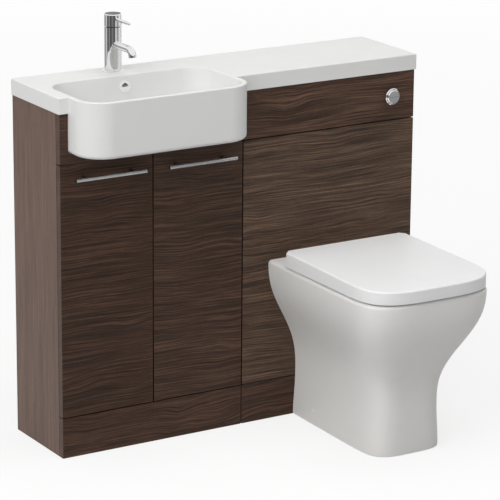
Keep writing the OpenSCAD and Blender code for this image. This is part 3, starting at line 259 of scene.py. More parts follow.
# %% [markdown]
# ## The moulded top and basin
# The real top is one casting of mineral resin: a slab with a basin that swells out of its front
# edge and hangs below it. It could be one sculpted surface, but a caster thinks in a block and its
# hollows, so the cells do too. The slab and the basin block are joined a little too high and planed
# off together, which gives one level face. Then the bowl, the tap's hole, the waste and the
# overflow are sunk into it, and last the arrises that a hand would touch are rounded by 2.6 mm, as
# a gel-coated edge is.

# %% Join the slab and the basin block
NOSING, BASIN_TO_WALL = 4 * MM, 88 * MM
BASIN_W, CORNER_R, EDGE_R, RIM = 455 * MM, 70 * MM, 10 * MM, 12 * MM
SLAB_SPARE, BLOCK_SPARE = 10 * MM, 15 * MM
DUCT_HALF, DUCT_DEPTH, BITE = 28 * MM, 18 * MM, 5 * MM
slab_low = Vector((low("basin_worktop").x, face_y - NOSING, high("basin_unit_left_side").z))
slab_high = high("basin_worktop")
basin_x = middle("overflow_ring").x
basin_x0, basin_x1 = basin_x - BASIN_W / 2, basin_x + BASIN_W / 2
basin_front, basin_low = low("basin_worktop").y, low("basin_worktop").z
basin_back = slab_high.y - BASIN_TO_WALL


def level(points, z): return [(x, y, z) for x, y in points]


def basin_block():
    rings = []
    for a in quarter():
        inset = EDGE_R * (1 - math.sin(a))
        outline = rounded_rect(basin_x0 + inset, basin_front + inset,
                               basin_x1 - inset, basin_back - inset, CORNER_R - inset)
        rings.append(level(outline, basin_low + EDGE_R * (1 - math.cos(a))))
    outline = rounded_rect(basin_x0, basin_front, basin_x1, basin_back, CORNER_R)
    rings.append(level(outline, top_z + BLOCK_SPARE))
    return rings


def box_rings(a, b):
    outline = [(a[0], a[1]), (b[0], a[1]), (b[0], b[1]), (a[0], b[1])]
    return [level(outline, a[2]), level(outline, b[2])]


slab = box_rings(slab_low, (slab_high.x, slab_high.y, top_z + SLAB_SPARE))
overflow_duct = box_rings((basin_x - DUCT_HALF, basin_back - BITE, basin_low + EDGE_R),
                          (basin_x + DUCT_HALF, basin_back + DUCT_DEPTH, slab_low.z + BITE))
above_top = box_rings((-1, -1, top_z), (1, 1, top_z + 1))
worktop = piece("moulded_top", closed(slab))
join(worktop, basin_block())
join(worktop, overflow_duct)
cut(worktop, above_top)
print("top and basin block:", len(worktop.data.vertices), "vertices")

# %% Sink the bowl
bowl_floor = high("click_waste").z
SLOPE, FLOOR_R = 12 * MM, 24 * MM
FLOOR_STEPS, WALL_STEPS = 12, 6


def bowl_outline(inset, r):
    return rounded_rect(basin_x0 + RIM + inset, basin_front + RIM + inset,
                        basin_x1 - RIM - inset, basin_back - RIM - inset, r)


def bowl_rings():
    depth, corner = top_z - bowl_floor, CORNER_R - RIM
    rings = []
    for a in quarter(FLOOR_STEPS):
        inset = SLOPE + FLOOR_R * (1 - math.sin(a))
        rings.append(level(bowl_outline(inset, corner - inset),
                           bowl_floor + FLOOR_R * (1 - math.cos(a))))
    for i in range(1, WALL_STEPS + 1):
        inset = SLOPE * (1 - i / WALL_STEPS)
        rings.append(level(bowl_outline(inset, corner - inset),
                           bowl_floor + FLOOR_R + (depth - FLOOR_R) * i / WALL_STEPS))
    rings.append(level(bowl_outline(-SLOPE * 0.1, corner), top_z + SLAB_SPARE))
    return rings


cut(worktop, bowl_rings())
print("basin is", round((top_z - bowl_floor) / MM), "mm deep")

# %% Sink the holes for tap and waste
UP, TO_WALL = (0, 0, 1), (0, 1, 0)
PAST = 10 * MM
TAP_HOLE_R, WASTE_HOLE_R, FLANGE_GAP, FLANGE_SINK = 17.5 * MM, 22.5 * MM, 0.3 * MM, 6 * MM


def bar(centre, axis, r, start, end, n=64):
    """A round bar from start to end along axis, as rings."""
    to = Vector(axis).normalized().to_track_quat("Z", "Y").to_matrix()
    return [[Vector(centre) + to @ Vector((r * math.cos(a), r * math.sin(a), along))
             for a in (2 * math.pi * i / n for i in range(n))] for along in (start, end)]


tap_at, waste_at = middle("tap_base_ring"), middle("click_waste")
flange_r = span("click_waste").x / 2 + FLANGE_GAP
for at, r, start, end in ((tap_at, TAP_HOLE_R, slab_low.z - PAST, top_z + PAST),
                          (waste_at, flange_r, bowl_floor - FLANGE_SINK, bowl_floor + PAST),
                          (waste_at, WASTE_HOLE_R, basin_low - PAST, bowl_floor)):
    cut(worktop, bar((at.x, at.y, 0), UP, r, start, end))
print("waste flange radius", round(flange_r / MM, 1), "mm")

# %% Sink the overflow and its ring's seat
OVERFLOW_DROP, RING_SEAT_R, OVERFLOW_R = 28 * MM, 14.8 * MM, 11.3 * MM
wall_slope = SLOPE / (top_z - bowl_floor - FLOOR_R)
overflow_at = Vector((basin_x, basin_back - RIM - wall_slope * OVERFLOW_DROP,
                      top_z - OVERFLOW_DROP))
cut(worktop, bar(overflow_at, (0, -1, wall_slope), RING_SEAT_R, 0, 30 * MM))
cut(worktop, bar(overflow_at, TO_WALL, OVERFLOW_R, -BITE, 20 * MM))
print("overflow at", [round(c, 4) for c in overflow_at])

# %% Round the arrises
ARRIS_R, NEAR, TAP_ROUND, UPRIGHT = 2.6 * MM, 0.1 * MM, 20 * MM, 10 * MM


def top_arris(edge):
    """The top's outer arris, the bowl's rim and the slab's upright corners, not the tap's hole."""
    a, b = (v.co for v in edge.verts)
    on_top = min(a.z, b.z) > top_z - NEAR
    by_tap = math.hypot(a.x - tap_at.x, a.y - tap_at.y) < TAP_ROUND
    corner = all(abs(abs(v.x) - slab_high.x) < NEAR and v.z > slab_low.z - NEAR for v in (a, b))
    return (on_top and not by_tap) or (corner and abs(a.z - b.z) > UPRIGHT)


print("rounded edges:", soften(worktop, ARRIS_R, top_arris))
print("moulded top:", len(worktop.data.vertices), "vertices")

# %% [markdown]
# ## The glazed pan
# The pan is slip-cast china: one skin that rises from a foot much narrower than the rim, swells out
# along an S and turns over a soft rim into the bowl. A subdivision surface would drift from the
# CAD's size, so the skin is built from many level rings that follow the same formula as the CAD,
# only finer. The stack of rings starts at the sump, climbs the bowl, crosses the deck, goes down
# the outside and comes back up inside the hollow foot, so wall and bowl are one closed skin as in
# the cast. Each bowl point lies in the direction of an outer point, which keeps the quads even.

# %% The pan's outline at each height
PAN_HALF, PAN_REACH, PAN_H = span("pan").x / 2, face_y - low("pan").y, rim_z
WAIST_Z, WALL, DECK, RIM_R = 112 * MM, 13 * MM, 22 * MM, 8 * MM
WAIST = dict(half=98.5 * MM, reach=PAN_REACH - 98 * MM, corner=120 * MM)
FOOT = dict(half=104 * MM, reach=PAN_REACH - 96 * MM)
PAN_CORNER, PAN_TAPER, PAN_BACK_R = 152 * MM, 6.5 * MM, 1 * MM
WIDTH_LAG = 1.1


def blend(a, b, t): return a + (b - a) * t


def ease(t):
    t = min(max(t, 0), 1)
    return t * t * (3 - 2 * t)


def s_curve(t):
    t = min(max(t, 0), 1)
    return t ** 3 * (t * (t * 6 - 15) + 10)


def pan_outline(z, inset=0.0):
    rise = max(0.0, (z - WAIST_Z) / (PAN_H - WAIST_Z))
    foot = ease(1 - z / WAIST_Z)
    half = blend(blend(WAIST["half"], PAN_HALF, s_curve(rise ** WIDTH_LAG)), FOOT["half"], foot)
    reach = blend(blend(WAIST["reach"], PAN_REACH, s_curve(rise)), FOOT["reach"], foot)
    corner = blend(WAIST["corner"], PAN_CORNER, s_curve(rise))
    return d_shape(half - inset, reach - inset, corner - inset, PAN_TAPER, PAN_BACK_R, PAN_POWER)


def towards(outline, half, back, front, n):
    """The oval's points that lie in the same directions as the outline's points."""
    mid, reach = -(back + front) / 2, (front - back) / 2
    pts = []
    for x, y in outline:
        size = (abs(x / half) ** n + abs((y - mid) / reach) ** n) ** (1 / n)
        pts.append((x / size, mid + (y - mid) / size))
    return pts


def at_pan(points, z): return [(pan_x + x, face_y + y, z) for x, y in points]


for name, z in (("foot", 0), ("waist", WAIST_Z), ("rim", PAN_H)):
    print("pan at the", name, round(2 * max(x for x, y in pan_outline(z)) / MM), "mm wide")

# %% The bowl's outline at each depth
MOUTH = dict(half=PAN_HALF - 55 * MM, back=136 * MM, front=PAN_REACH - 40 * MM, n=2.6)
SUMP = dict(z=128 * MM, half=46 * MM, back=MOUTH["back"] + 70 * MM,
            front=MOUTH["front"] - 120 * MM)
FULLNESS = 0.62


def bowl_ring(t, grow):
    k = t ** FULLNESS
    return towards(pan_outline(PAN_H), blend(SUMP["half"], MOUTH["half"], k) + grow,
                   blend(SUMP["back"], MOUTH["back"], k) - grow,
                   blend(SUMP["front"], MOUTH["front"], k) + grow, blend(2, MOUTH["n"], t))


print("toilet bowl is", round((PAN_H - SUMP["z"]) / MM), "mm deep")

# %% Bowl, deck, outside and hollow as one skin
LIP_R, BACK_GAP = 7 * MM, 1 * MM
FOOT_ARRIS = ((0.2 * MM, 1.2 * MM), (1.4 * MM, 0))
BOWL_STEPS, OUTSIDE_STEPS, HOLLOW_STEPS = 44, 52, 14
CROWDING, BELOW_LIP = 1.5, 0.975


def bowl_and_deck():
    rings = []
    for i in range(BOWL_STEPS + 1):
        t = (i / BOWL_STEPS) ** CROWDING * BELOW_LIP
        rings.append(at_pan(bowl_ring(t, 0), blend(SUMP["z"], PAN_H, t)))
    for a in quarter()[1:]:
        rings.append(at_pan(bowl_ring(1, LIP_R * (1 - math.cos(a))),
                            PAN_H - LIP_R * (1 - math.sin(a))))
    for a in quarter():
        rings.append(at_pan(pan_outline(PAN_H, RIM_R * (1 - math.sin(a))),
                            PAN_H - RIM_R * (1 - math.cos(a))))
    return rings


def outside_and_hollow():
    rings = []
    for i in range(1, OUTSIDE_STEPS):
        z = (PAN_H - RIM_R) * (1 - i / OUTSIDE_STEPS)
        rings.append(at_pan(pan_outline(z), z))
    for inset, z in FOOT_ARRIS:
        rings.append(at_pan(pan_outline(0, inset), z))
    for i in range(HOLLOW_STEPS + 1):
        z = (PAN_H - DECK) * i / HOLLOW_STEPS
        rings.append(at_pan([(x, min(y, -BACK_GAP)) for x, y in pan_outline(z, WALL)], z))
    for i in range(HOLLOW_STEPS + 1):
        t = 1 - i / HOLLOW_STEPS
        rings.append(at_pan(bowl_ring(t, WALL), blend(SUMP["z"] - WALL, PAN_H - DECK, t)))
    return rings


pan = piece("glazed_pan", closed(bowl_and_deck() + outside_and_hollow()))
print("pan skin:", len(pan.data.vertices), "vertices")

# %% Open the back between the side walls
BACK_HEIGHTS = [z * MM for z in (-5, 30, 70, 112, 200, 280, 340)] + [PAN_H - DECK]
BY_BACK, BACK_PAST = -12 * MM, 5 * MM
back_open = []
for z in BACK_HEIGHTS:
    side = -min(x for x, y in pan_outline(max(z, 0), WALL) if y > BY_BACK)
    inner = -WALL - BACK_GAP
    back_open.append(at_pan([(-side, inner), (side, inner), (side, BACK_PAST), (-side, BACK_PAST)],
                            z))
cut(pan, back_open)
print("back opened at", len(BACK_HEIGHTS), "heights")

# %% Add the trapway, the soil spigot and the flush inlet
SPIGOT_R, OUTLET_R, SPIGOT_L, TRAP_WALL = 51 * MM, 44 * MM, 60 * MM, 8 * MM
INLET_Z, COLLAR_R, INLET_R, JET_R = 345 * MM, 37 * MM, 28 * MM, 16 * MM
TRAP_BACK, TRAP_RISE, TRAP_STOP, TRAP_LEAN = 90 * MM, 26 * MM, 24 * MM, 2 * MM
SPIGOT_ROOT, OUTLET_ROOT, INLET_ROOT, COLLAR_STOP = 40 * MM, 45 * MM, 60 * MM, 0.2 * MM
CAST_SHARP_DEG = 40
outlet_at = Vector((pan_x, face_y, middle("pan_connector").z))
inlet_at = Vector((pan_x, face_y, INLET_Z))
sump_at = Vector((pan_x, face_y - MOUTH["back"] - TRAP_BACK, SUMP["z"] + TRAP_RISE))
way = outlet_at + Vector((0, -TRAP_STOP, 0)) - sump_at
join(pan, bar(sump_at, way, OUTLET_R + TRAP_WALL, 0, way.length))
join(pan, bar(outlet_at, TO_WALL, SPIGOT_R, -SPIGOT_ROOT, SPIGOT_L))
join(pan, bar(inlet_at, TO_WALL, COLLAR_R, -MOUTH["back"] - WALL / 2, -COLLAR_STOP))
cut(pan, bar(sump_at, way, OUTLET_R - TRAP_LEAN, -PAST, way.length))
cut(pan, bar(outlet_at, TO_WALL, OUTLET_R, -OUTLET_ROOT, SPIGOT_L + 1 * MM))
cut(pan, bar(inlet_at, TO_WALL, INLET_R, -INLET_ROOT, PAST))
cut(pan, bar(inlet_at, TO_WALL, JET_R, -MOUTH["back"] - 2 * WALL, PAST))
smooth(pan, CAST_SHARP_DEG)
print("pan with outlets:", len(pan.data.vertices), "vertices")

# %% [markdown]
# ## Seat and lid
# Both are moulded in a hard plastic. The seat is a ring whose top rolls softly over both edges, so
# its skin is a stack of rings that closes on itself. The lid is a shell with a skirt: an outer form
# minus a hollow, with the skirt's back ends trimmed to an arc so that it can swing up past the pan.
# Each has two ears on the hinge pins, whose axis is named here, since both have to share it.

# %% The seat's outlines
HINGE_Z, SEAT_SETBACK, SEAT_T = 439 * MM, 104 * MM, 19 * MM
SEAT_CORNER, SEAT_TAPER, SEAT_BACK_R = 140 * MM, 2 * MM, 12 * MM
SEAT_HOLE = dict(half=MOUTH["half"] - 14 * MM, back=MOUTH["back"] + 12 * MM,
                 front=MOUTH["front"] - 20 * MM, n=MOUTH["n"])
hinge = Vector((pan_x, middle("seat_hinge_posts").y, HINGE_Z))
seat_low, seat_half = low("seat"), span("seat").x / 2
seat_top = seat_low.z + SEAT_T
seat_reach = face_y - SEAT_SETBACK - seat_low.y


def seat_outline(inset):
    pts = d_shape(seat_half - inset, seat_reach - 2 * inset, SEAT_CORNER - inset,
                  SEAT_TAPER, SEAT_BACK_R, SEAT_POWER)
    return [(x, y - SEAT_SETBACK - inset) for x, y in pts]


def seat_hole(grow):
    return towards(seat_outline(0), SEAT_HOLE["half"] + grow, SEAT_HOLE["back"] - grow,
                   SEAT_HOLE["front"] + grow, SEAT_HOLE["n"])


print("seat is", round(2 * seat_half / MM), "mm wide and reaches", round(seat_reach / MM), "mm")

# %% Ears on the hinge pins
EAR_W, EAR_R = 12 * MM, 8 * MM
SEAT_EAR_X, LID_EAR_X = 86.5 * MM, 57.5 * MM


def drawn_out(xs, profile):
    """A profile of (y, z) about the pins' axis, drawn out between two places along it."""
    return [[(x, hinge.y + y, hinge.z + z) for y, z in profile] for x in xs]


def add_ears(made, ear_x, tongue):
    """A tongue and a round barrel on each side of the middle."""
    for side in (-1, 1):
        xs = sorted([pan_x + side * ear_x, pan_x + side * (ear_x + EAR_W)])
        join(made, drawn_out(xs, tongue))
        start = ear_x if side > 0 else -ear_x - EAR_W
        join(made, bar(hinge, (1, 0, 0), EAR_R, start, start + EAR_W, 48))


print("hinge pins at", [round(c, 4) for c in hinge])

# %% The seat ring
UNDER_R, OUTER_R, INNER_R, ARM = 2.5 * MM, 6.5 * MM, 9 * MM, 24 * MM


def seat_rings():
    rings = []
    for outline, r, z, up, ends_flat in ((seat_outline, UNDER_R, seat_low.z, 1, False),
                                         (seat_outline, OUTER_R, seat_top, -1, True),
                                         (seat_hole, INNER_R, seat_top, -1, False),
                                         (seat_hole, UNDER_R, seat_low.z, 1, True)):
        for a in quarter():
            side, rise = 1 - math.sin(a), 1 - math.cos(a)
            if ends_flat:
                side, rise = rise, side
            rings.append(at_pan(outline(r * side), z + r * rise * up))
    return rings


seat = piece("toilet_seat", closed(seat_rings(), caps=False))
arm_top = seat_top - hinge.z
add_ears(seat, SEAT_EAR_X, [(-ARM, -EAR_R), (0, -EAR_R), (0, arm_top), (-ARM, arm_top)])
smooth(seat, CAST_SHARP_DEG)
print("seat:", len(seat.data.vertices), "vertices")

# %% The lid's outlines
LID_BACK, LID_EDGE, LID_T, LID_FALL = 72 * MM, 4 * MM, 7 * MM, 6.5 * MM
LID_CORNER, LID_TAPER, LID_BACK_R, HOLLOW_BACK_R = 150 * MM, 2 * MM, 14 * MM, 16.9 * MM
HOLLOW_PAST = 2 * MM
lid_half, lid_low, lid_top = span("lid").x / 2, low("lid").z, high("lid").z
lid_reach = face_y - LID_BACK - low("lid").y


def lid_outline(inset):
    pts = d_shape(lid_half - inset, lid_reach - 2 * inset, LID_CORNER - inset,
                  LID_TAPER, LID_BACK_R - inset, SEAT_POWER)
    return [(x, y - inset) for x, y in pts]


def lid_hollow():
    """The hollow's outline; it runs out past the lid's back edge, so the skirt has no back."""
    pts = d_shape(lid_half - LID_T, lid_reach - LID_T + HOLLOW_PAST, LID_CORNER - LID_T,
                  LID_TAPER, HOLLOW_BACK_R, SEAT_POWER)
    return [(x, y + HOLLOW_PAST) for x, y in pts]


def lid_ring(outline, z, sloped=True):
    fall = LID_FALL / lid_reach if sloped else 0.0
    return [(pan_x + x, face_y - LID_BACK + y, z + fall * y) for x, y in outline]


print("lid is", round(2 * lid_half / MM), "mm wide and falls", LID_FALL / MM, "mm to the front")

# %% The lid as a shell with ears
CHAMFER, LID_SHARP_DEG = 0.6 * MM, 30
lid_rings = [lid_ring(lid_outline(CHAMFER), lid_low, False),
             lid_ring(lid_outline(0), lid_low + CHAMFER, False)]
for a in quarter():
    lid_rings.append(lid_ring(lid_outline(LID_EDGE * (1 - math.cos(a))),
                              lid_top - LID_EDGE * (1 - math.sin(a))))
lid = piece("toilet_lid", closed(lid_rings))
cut(lid, [lid_ring(lid_hollow(), lid_low - 2 * MM, False),
          lid_ring(lid_hollow(), lid_top - LID_T)])
add_ears(lid, LID_EAR_X, [(0, 0), (EAR_R, 0), (EAR_R, EAR_W), (0, EAR_W)])
print("lid with ears:", len(lid.data.vertices), "vertices")

# %% Trim the skirt's back ends to an arc round the pins
TRIM_FAR, TRIM_STEPS = 30 * MM, 24
# the radius kept, over the whole width and then between the skirts
for r, half in ((22 * MM, lid_half + 2 * MM), (15.5 * MM, lid_half - 9 * MM)):
    corner = arc(0, 0, r, -90, 0, TRIM_STEPS)
    corner += [(TRIM_FAR, 0), (TRIM_FAR, -TRIM_FAR), (0, -TRIM_FAR)]
    cut(lid, drawn_out((pan_x - half, pan_x + half), corner))
smooth(lid, LID_SHARP_DEG)
print("lid:", len(lid.data.vertices), "vertices")

# %% [markdown]
# ## Effects shared by several finishes
# Two effects return in many finishes, so each is a node group that is built once. The first is the
# faint unevenness of any surface that has been touched and wiped: a large soft mask, a fine grain
# and a slow sag.
# The second is the figure of walnut. A tree makes it with rings that a flat cut meets at a slant.
# Rings could be drawn with a wave texture, but they come out too even, so the bands here are noise
# that is stretched along the grain and fine across it. Slow noise bends the frame in which they are
# drawn, so that they swing and arch together with the fibres and the short dark pores.

# %% Build a node group
def node(tree, kind, **values):
    made = tree.nodes.new(kind)
    for key, value in values.items():
        if key[0].isupper():
            made.inputs[key.replace("_", " ")].default_value = value
        else:
            setattr(made, key, value)
    return made


def group(name, inputs, outputs):
    tree = bpy.data.node_groups.new(name, "ShaderNodeTree")
    for label, kind, value in inputs:
        socket = tree.interface.new_socket(name=label, in_out="INPUT", socket_type=kind)
        if value is not None:
            socket.default_value = value
    for label, kind in outputs:
        tree.interface.new_socket(name=label, in_out="OUTPUT", socket_type=kind)
    return tree, tree.nodes.new("NodeGroupInput"), tree.nodes.new("NodeGroupOutput")


def remap(tree, value, a, b, c, d):
    """Map value from a..b to c..d and keep it inside."""
    made = node(tree, "ShaderNodeMapRange", clamp=True)
    tree.links.new(value, made.inputs["Value"])
    for key, number in zip(("From Min", "From Max", "To Min", "To Max"), (a, b, c, d)):
        made.inputs[key].default_value = number
    return made.outputs["Result"]


def calc(tree, how, a, b):
    made = node(tree, "ShaderNodeMath", operation=how)
    for i, term in enumerate((a, b)):
        if isinstance(term, (int, float)):
            made.inputs[i].default_value = term
        else:
            tree.links.new(term, made.inputs[i])
    return made.outputs[0]


print("node groups so far:", len(bpy.data.node_groups))

# %% The touched-and-wiped group
touched, inp, out = group("touched_and_wiped",
    [("Vector", "NodeSocketVector", None), ("Size", "NodeSocketFloat", 9.0)],
    [("Smudge", "NodeSocketFloat"), ("Grain", "NodeSocketFloat"), ("Sag", "NodeSocketFloat")])
smudge = node(touched, "ShaderNodeTexNoise", Detail=3.0, Roughness=0.6, Distortion=0.4)
grain = node(touched, "ShaderNodeTexNoise", Scale=900.0, Detail=2.0)
sag = node(touched, "ShaderNodeTexNoise", Scale=14.0, Detail=1.0)
touched.links.new(inp.outputs["Size"], smudge.inputs["Scale"])
for made in (smudge, grain, sag):
    touched.links.new(inp.outputs["Vector"], made.inputs["Vector"])
touched.links.new(remap(touched, smudge.outputs["Fac"], 0.35, 0.7, 0, 1), out.inputs["Smudge"])
touched.links.new(grain.outputs["Fac"], out.inputs["Grain"])
touched.links.new(sag.outputs["Fac"], out.inputs["Sag"])
print("group", touched.name, "built")

# %% The walnut group
figured, inp, out = group("walnut_figure",
    [("Vector", "NodeSocketVector", None), ("Shift", "NodeSocketVector", (0, 0, 0)),
     ("Fineness", "NodeSocketFloat", 1.0)],
    [("Band", "NodeSocketFloat"), ("Fibre", "NodeSocketFloat"), ("Pore", "NodeSocketFloat"),
     ("Patch", "NodeSocketFloat")])


def stretched(tree, vector, scale):
    made = node(tree, "ShaderNodeMapping", Scale=scale)
    tree.links.new(vector, made.inputs["Vector"])
    return made.outputs["Vector"]


def noise_on(tree, vector, **values):
    made = node(tree, "ShaderNodeTexNoise", **values)
    tree.links.new(vector, made.inputs["Vector"])
    return made.outputs["Fac"]


SLOW, ARCH = (2.0, 5.5, 5.5), (6.5, 11.0, 11.0)
SLOW_SWING, ARCH_SWING, ARCH_POWER = 0.052, 0.012, 2.0
moved = node(figured, "ShaderNodeVectorMath", operation="ADD")
figured.links.new(inp.outputs["Vector"], moved.inputs[0])
figured.links.new(inp.outputs["Shift"], moved.inputs[1])
parts = node(figured, "ShaderNodeSeparateXYZ")
figured.links.new(moved.outputs["Vector"], parts.inputs[0])
slow = noise_on(figured, stretched(figured, moved.outputs["Vector"], SLOW),
                Scale=1.0, Detail=2.0, Roughness=0.5)
arch = noise_on(figured, stretched(figured, moved.outputs["Vector"], ARCH),
                Scale=1.0, Detail=1.0)
arch = calc(figured, "POWER", remap(figured, arch, 0.45, 0.75, 0, 1), ARCH_POWER)
swing = calc(figured, "ADD", calc(figured, "MULTIPLY", slow, SLOW_SWING),
             calc(figured, "MULTIPLY", arch, ARCH_SWING))
flat = calc(figured, "ADD", parts.outputs["Y"], parts.outputs["Z"])
across = calc(figured, "ADD", flat, swing)
across = calc(figured, "MULTIPLY", across, inp.outputs["Fineness"])
print("grain swings by up to", SLOW_SWING + ARCH_SWING, "m")

# %% Bands, fibres, pores and patches along the grain
def along_grain(length_scale, cross_scale, **values):
    """Noise in the bent frame of the wood: stretched along the grain, fine across the rings."""
    at = node(figured, "ShaderNodeCombineXYZ")
    lengthways = calc(figured, "MULTIPLY", parts.outputs["X"], length_scale)
    figured.links.new(lengthways, at.inputs["X"])
    crossways = calc(figured, "MULTIPLY", across, cross_scale)
    figured.links.new(crossways, at.inputs["Z"])
    return noise_on(figured, at.outputs["Vector"], Scale=1.0, **values)


band = along_grain(3.6, 270.0, Detail=5.0, Roughness=0.80)
fibre = along_grain(14.0, 520.0, Detail=3.0, Roughness=0.75)
pore = along_grain(75.0, 1300.0, Detail=1.0)
patch = along_grain(2.2, 26.0, Detail=3.0)
figured.links.new(band, out.inputs["Band"])
figured.links.new(fibre, out.inputs["Fibre"])
figured.links.new(remap(figured, pore, 0.60, 0.70, 0, 1), out.inputs["Pore"])
figured.links.new(remap(figured, patch, 0.3, 0.7, 0, 1), out.inputs["Patch"])
print("group", figured.name, "built")

# %% [markdown]
# ## Walnut boards
# The fronts are faced with a dark walnut laminate whose grain runs level, the side panels with the
# same walnut standing upright, painted a little lighter because the light grazes them. A colour
# ramp turns the band mask into early and late wood, the slow patches shift it, and the fibres and
# pores darken it a little. Roughness follows the fibres, because the pores of a laminate are matt.

# %% Start a material
def srgb(r, g, b):
    return [((c / 255 + 0.055) / 1.055) ** 2.4 if c > 10 else c / 255 / 12.92
            for c in (r, g, b)] + [1.0]


def material(name, **values):
    made = bpy.data.materials.new(name)
    made.use_nodes = True
    tree = made.node_tree
    shader = tree.nodes["Principled BSDF"]
    for key, value in values.items():
        shader.inputs[key.replace("_", " ")].default_value = value
    return made, tree, shader


print("a middle grey in linear light:", round(srgb(128, 128, 128)[0], 3))

# %% Wire a finish together
def place(tree, name, **values):
    made = node(tree, "ShaderNodeGroup", node_tree=bpy.data.node_groups[name], **values)
    at = node(tree, "ShaderNodeTexCoord")
    tree.links.new(at.outputs["Object"], made.inputs["Vector"])
    return made


def ramp(tree, value, stops):
    made = node(tree, "ShaderNodeValToRGB")
    tree.links.new(value, made.inputs["Fac"])
    for i, (at, colour) in enumerate(stops):
        stop = made.color_ramp.elements[i] if i < 2 else made.color_ramp.elements.new(at)
        stop.position, stop.color = at, colour
    return made.outputs["Color"]


def tint(tree, how, share, a, b):
    made = node(tree, "ShaderNodeMix", data_type="RGBA", blend_type=how)
    for key, term in ((0, share), (6, a), (7, b)):
        if isinstance(term, (int, float, list, tuple)):
            made.inputs[key].default_value = term
        else:
            tree.links.new(term, made.inputs[key])
    return made.outputs[2]


def bump(tree, shader, height, strength, distance):
    made = node(tree, "ShaderNodeBump", Strength=strength, Distance=distance)
    tree.links.new(height, made.inputs["Height"])
    tree.links.new(made.outputs["Normal"], shader.inputs["Normal"])


print("groups to place:", [made.name for made in bpy.data.node_groups])

# %% Walnut, level or upright
def walnut(name, tones, shift, upright=False, painted_edge=None, fineness=1.0):
    made, tree, shader = material(name, Roughness=0.5, Specular_IOR_Level=0.16)
    wood = place(tree, "walnut_figure", Shift=shift, Fineness=fineness)
    at = wood.inputs["Vector"].links[0].from_node
    if upright:
        turned = node(tree, "ShaderNodeMapping", Rotation=(0, math.radians(90), 0))
        tree.links.new(at.outputs["Object"], turned.inputs["Vector"])
        tree.links.new(turned.outputs["Vector"], wood.inputs["Vector"])
    dark, mid, light = tones
    bands = ramp(tree, wood.outputs["Band"], [(0.36, dark), (0.64, light), (0.5, mid)])
    fine = calc(tree, "MULTIPLY", remap(tree, wood.outputs["Fibre"], 0.28, 0.72, 0.76, 1.24),
                remap(tree, wood.outputs["Patch"], 0, 1, 0.80, 1.14))
    grey = node(tree, "ShaderNodeCombineColor")
    for channel in ("Red", "Green", "Blue"):
        tree.links.new(fine, grey.inputs[channel])
    colour = tint(tree, "MULTIPLY", 1.0, bands, grey.outputs["Color"])
    # the board's edges, whose normals point along x, take a painted edge colour
    if painted_edge:
        facing = node(tree, "ShaderNodeSeparateXYZ")
        tree.links.new(at.outputs["Normal"], facing.inputs[0])
        edge = remap(tree, calc(tree, "ABSOLUTE", facing.outputs["X"], 0.0), 0.5, 0.8, 0, 1)
        strip = tint(tree, "MULTIPLY", 1.0, painted_edge, grey.outputs["Color"])
        colour = tint(tree, "MIX", edge, colour, strip)
    in_pore = calc(tree, "MULTIPLY", wood.outputs["Pore"], PORE_SHARE)
    colour = tint(tree, "MIX", in_pore, colour, [c * 0.5 for c in dark[:3]] + [1])
    tree.links.new(colour, shader.inputs["Base Color"])
    tree.links.new(remap(tree, wood.outputs["Fibre"], 0.3, 0.7, 0.42, 0.58),
                   shader.inputs["Roughness"])
    raised = calc(tree, "MULTIPLY", wood.outputs["Fibre"], 0.4)
    height = calc(tree, "SUBTRACT", raised, wood.outputs["Pore"])
    bump(tree, shader, height, 0.25, 0.2 * MM)
    return made


PORE_SHARE = 0.4
FRONT = [srgb(34, 25, 21), srgb(68, 50, 41), srgb(104, 78, 63)]
# paler tones for the sides: painted light, as on boards that face the light; the inside parts share
# them
SIDE = [srgb(92, 74, 65), srgb(114, 94, 84), srgb(136, 114, 102)]
# a painted highlight for the edges of the fronts at the left, which face the light
PAINTED_LIT_EDGE = srgb(90, 72, 64)
print("walnut tones", [[round(c, 3) for c in tone[:3]] for tone in FRONT])

# %% Dress the boards
def finish(material_made, *names):
    for name in names:
        made = frame["nodes"][name] if name in frame["nodes"] else bpy.data.objects[name]
        made.data.materials.clear()
        made.data.materials.append(material_made)


# each front: where its veneer was cut from the sheet, and how much paler it is, in red, green, blue
FRONTS = {"left_door": ((0.0, 0.13, 0.05), (0.91, 0.88, 0.84)),
          "right_door": ((0.7, 0.41, -0.31), (1.05, 1.07, 1.05)),
          "basin_fascia": ((0.2, 0.9, 0.62), (1.1, 1.1, 1.1)),
          "wc_fascia": ((1.1, 0.55, 0.31), (1.36, 1.4, 1.36)),
          "wc_front_panel": ((0.4, 0.73, -0.72), (1.6, 1.82, 1.8)),
          "plinths": ((1.7, 0.2, 0.9), (1.1, 1.08, 1.06))}
AT_THE_LEFT = ("left_door", "basin_fascia", "plinths")
for name, (shift, paleness) in FRONTS.items():
    tones = [[c * k for c, k in zip(tone, paleness)] + [1.0] for tone in FRONT]
    # lit edges, painted light, on the fronts at the left; elsewhere the edges take the darkest tone
    painted_edge = PAINTED_LIT_EDGE if name in AT_THE_LEFT else FRONT[0]
    finish(walnut("walnut_" + name, tones, shift, painted_edge=painted_edge), name)
# the side panels take the paler tones, painted lighter where the light grazes them
finish(walnut("walnut_side", SIDE, (0.3, 0.2, 0.1), upright=True, fineness=1.5),
       "basin_unit_left_side", "basin_unit_right_side", "wc_unit_left_side", "wc_unit_right_side")
finish(walnut("walnut_inside", SIDE, (0.9, 0.6, 0.4)),
       "basin_unit_floor", "basin_unit_rails", "cupboard_shelf", "wc_unit_rails")
print("walnut fronts:", ", ".join(FRONTS))

# %% [markdown]
# ## White mouldings
# Several white stuffs meet on this object and they differ: the resin top has a satin gel coat, the
# china a soft glaze over a warmer body, the seat a smooth hard plastic that the overflow ring and
# the caps of the pan's fixings share, and the cistern's plastic is plainer. A thin coat layer makes
# glaze and gel coat. Their gloss is broken a little by the wiped-surface mask, and a glaze sags in
# slow waves. In life they are glossier, but the photograph shows no sharp reflection on any of
# them, so all are kept rough.

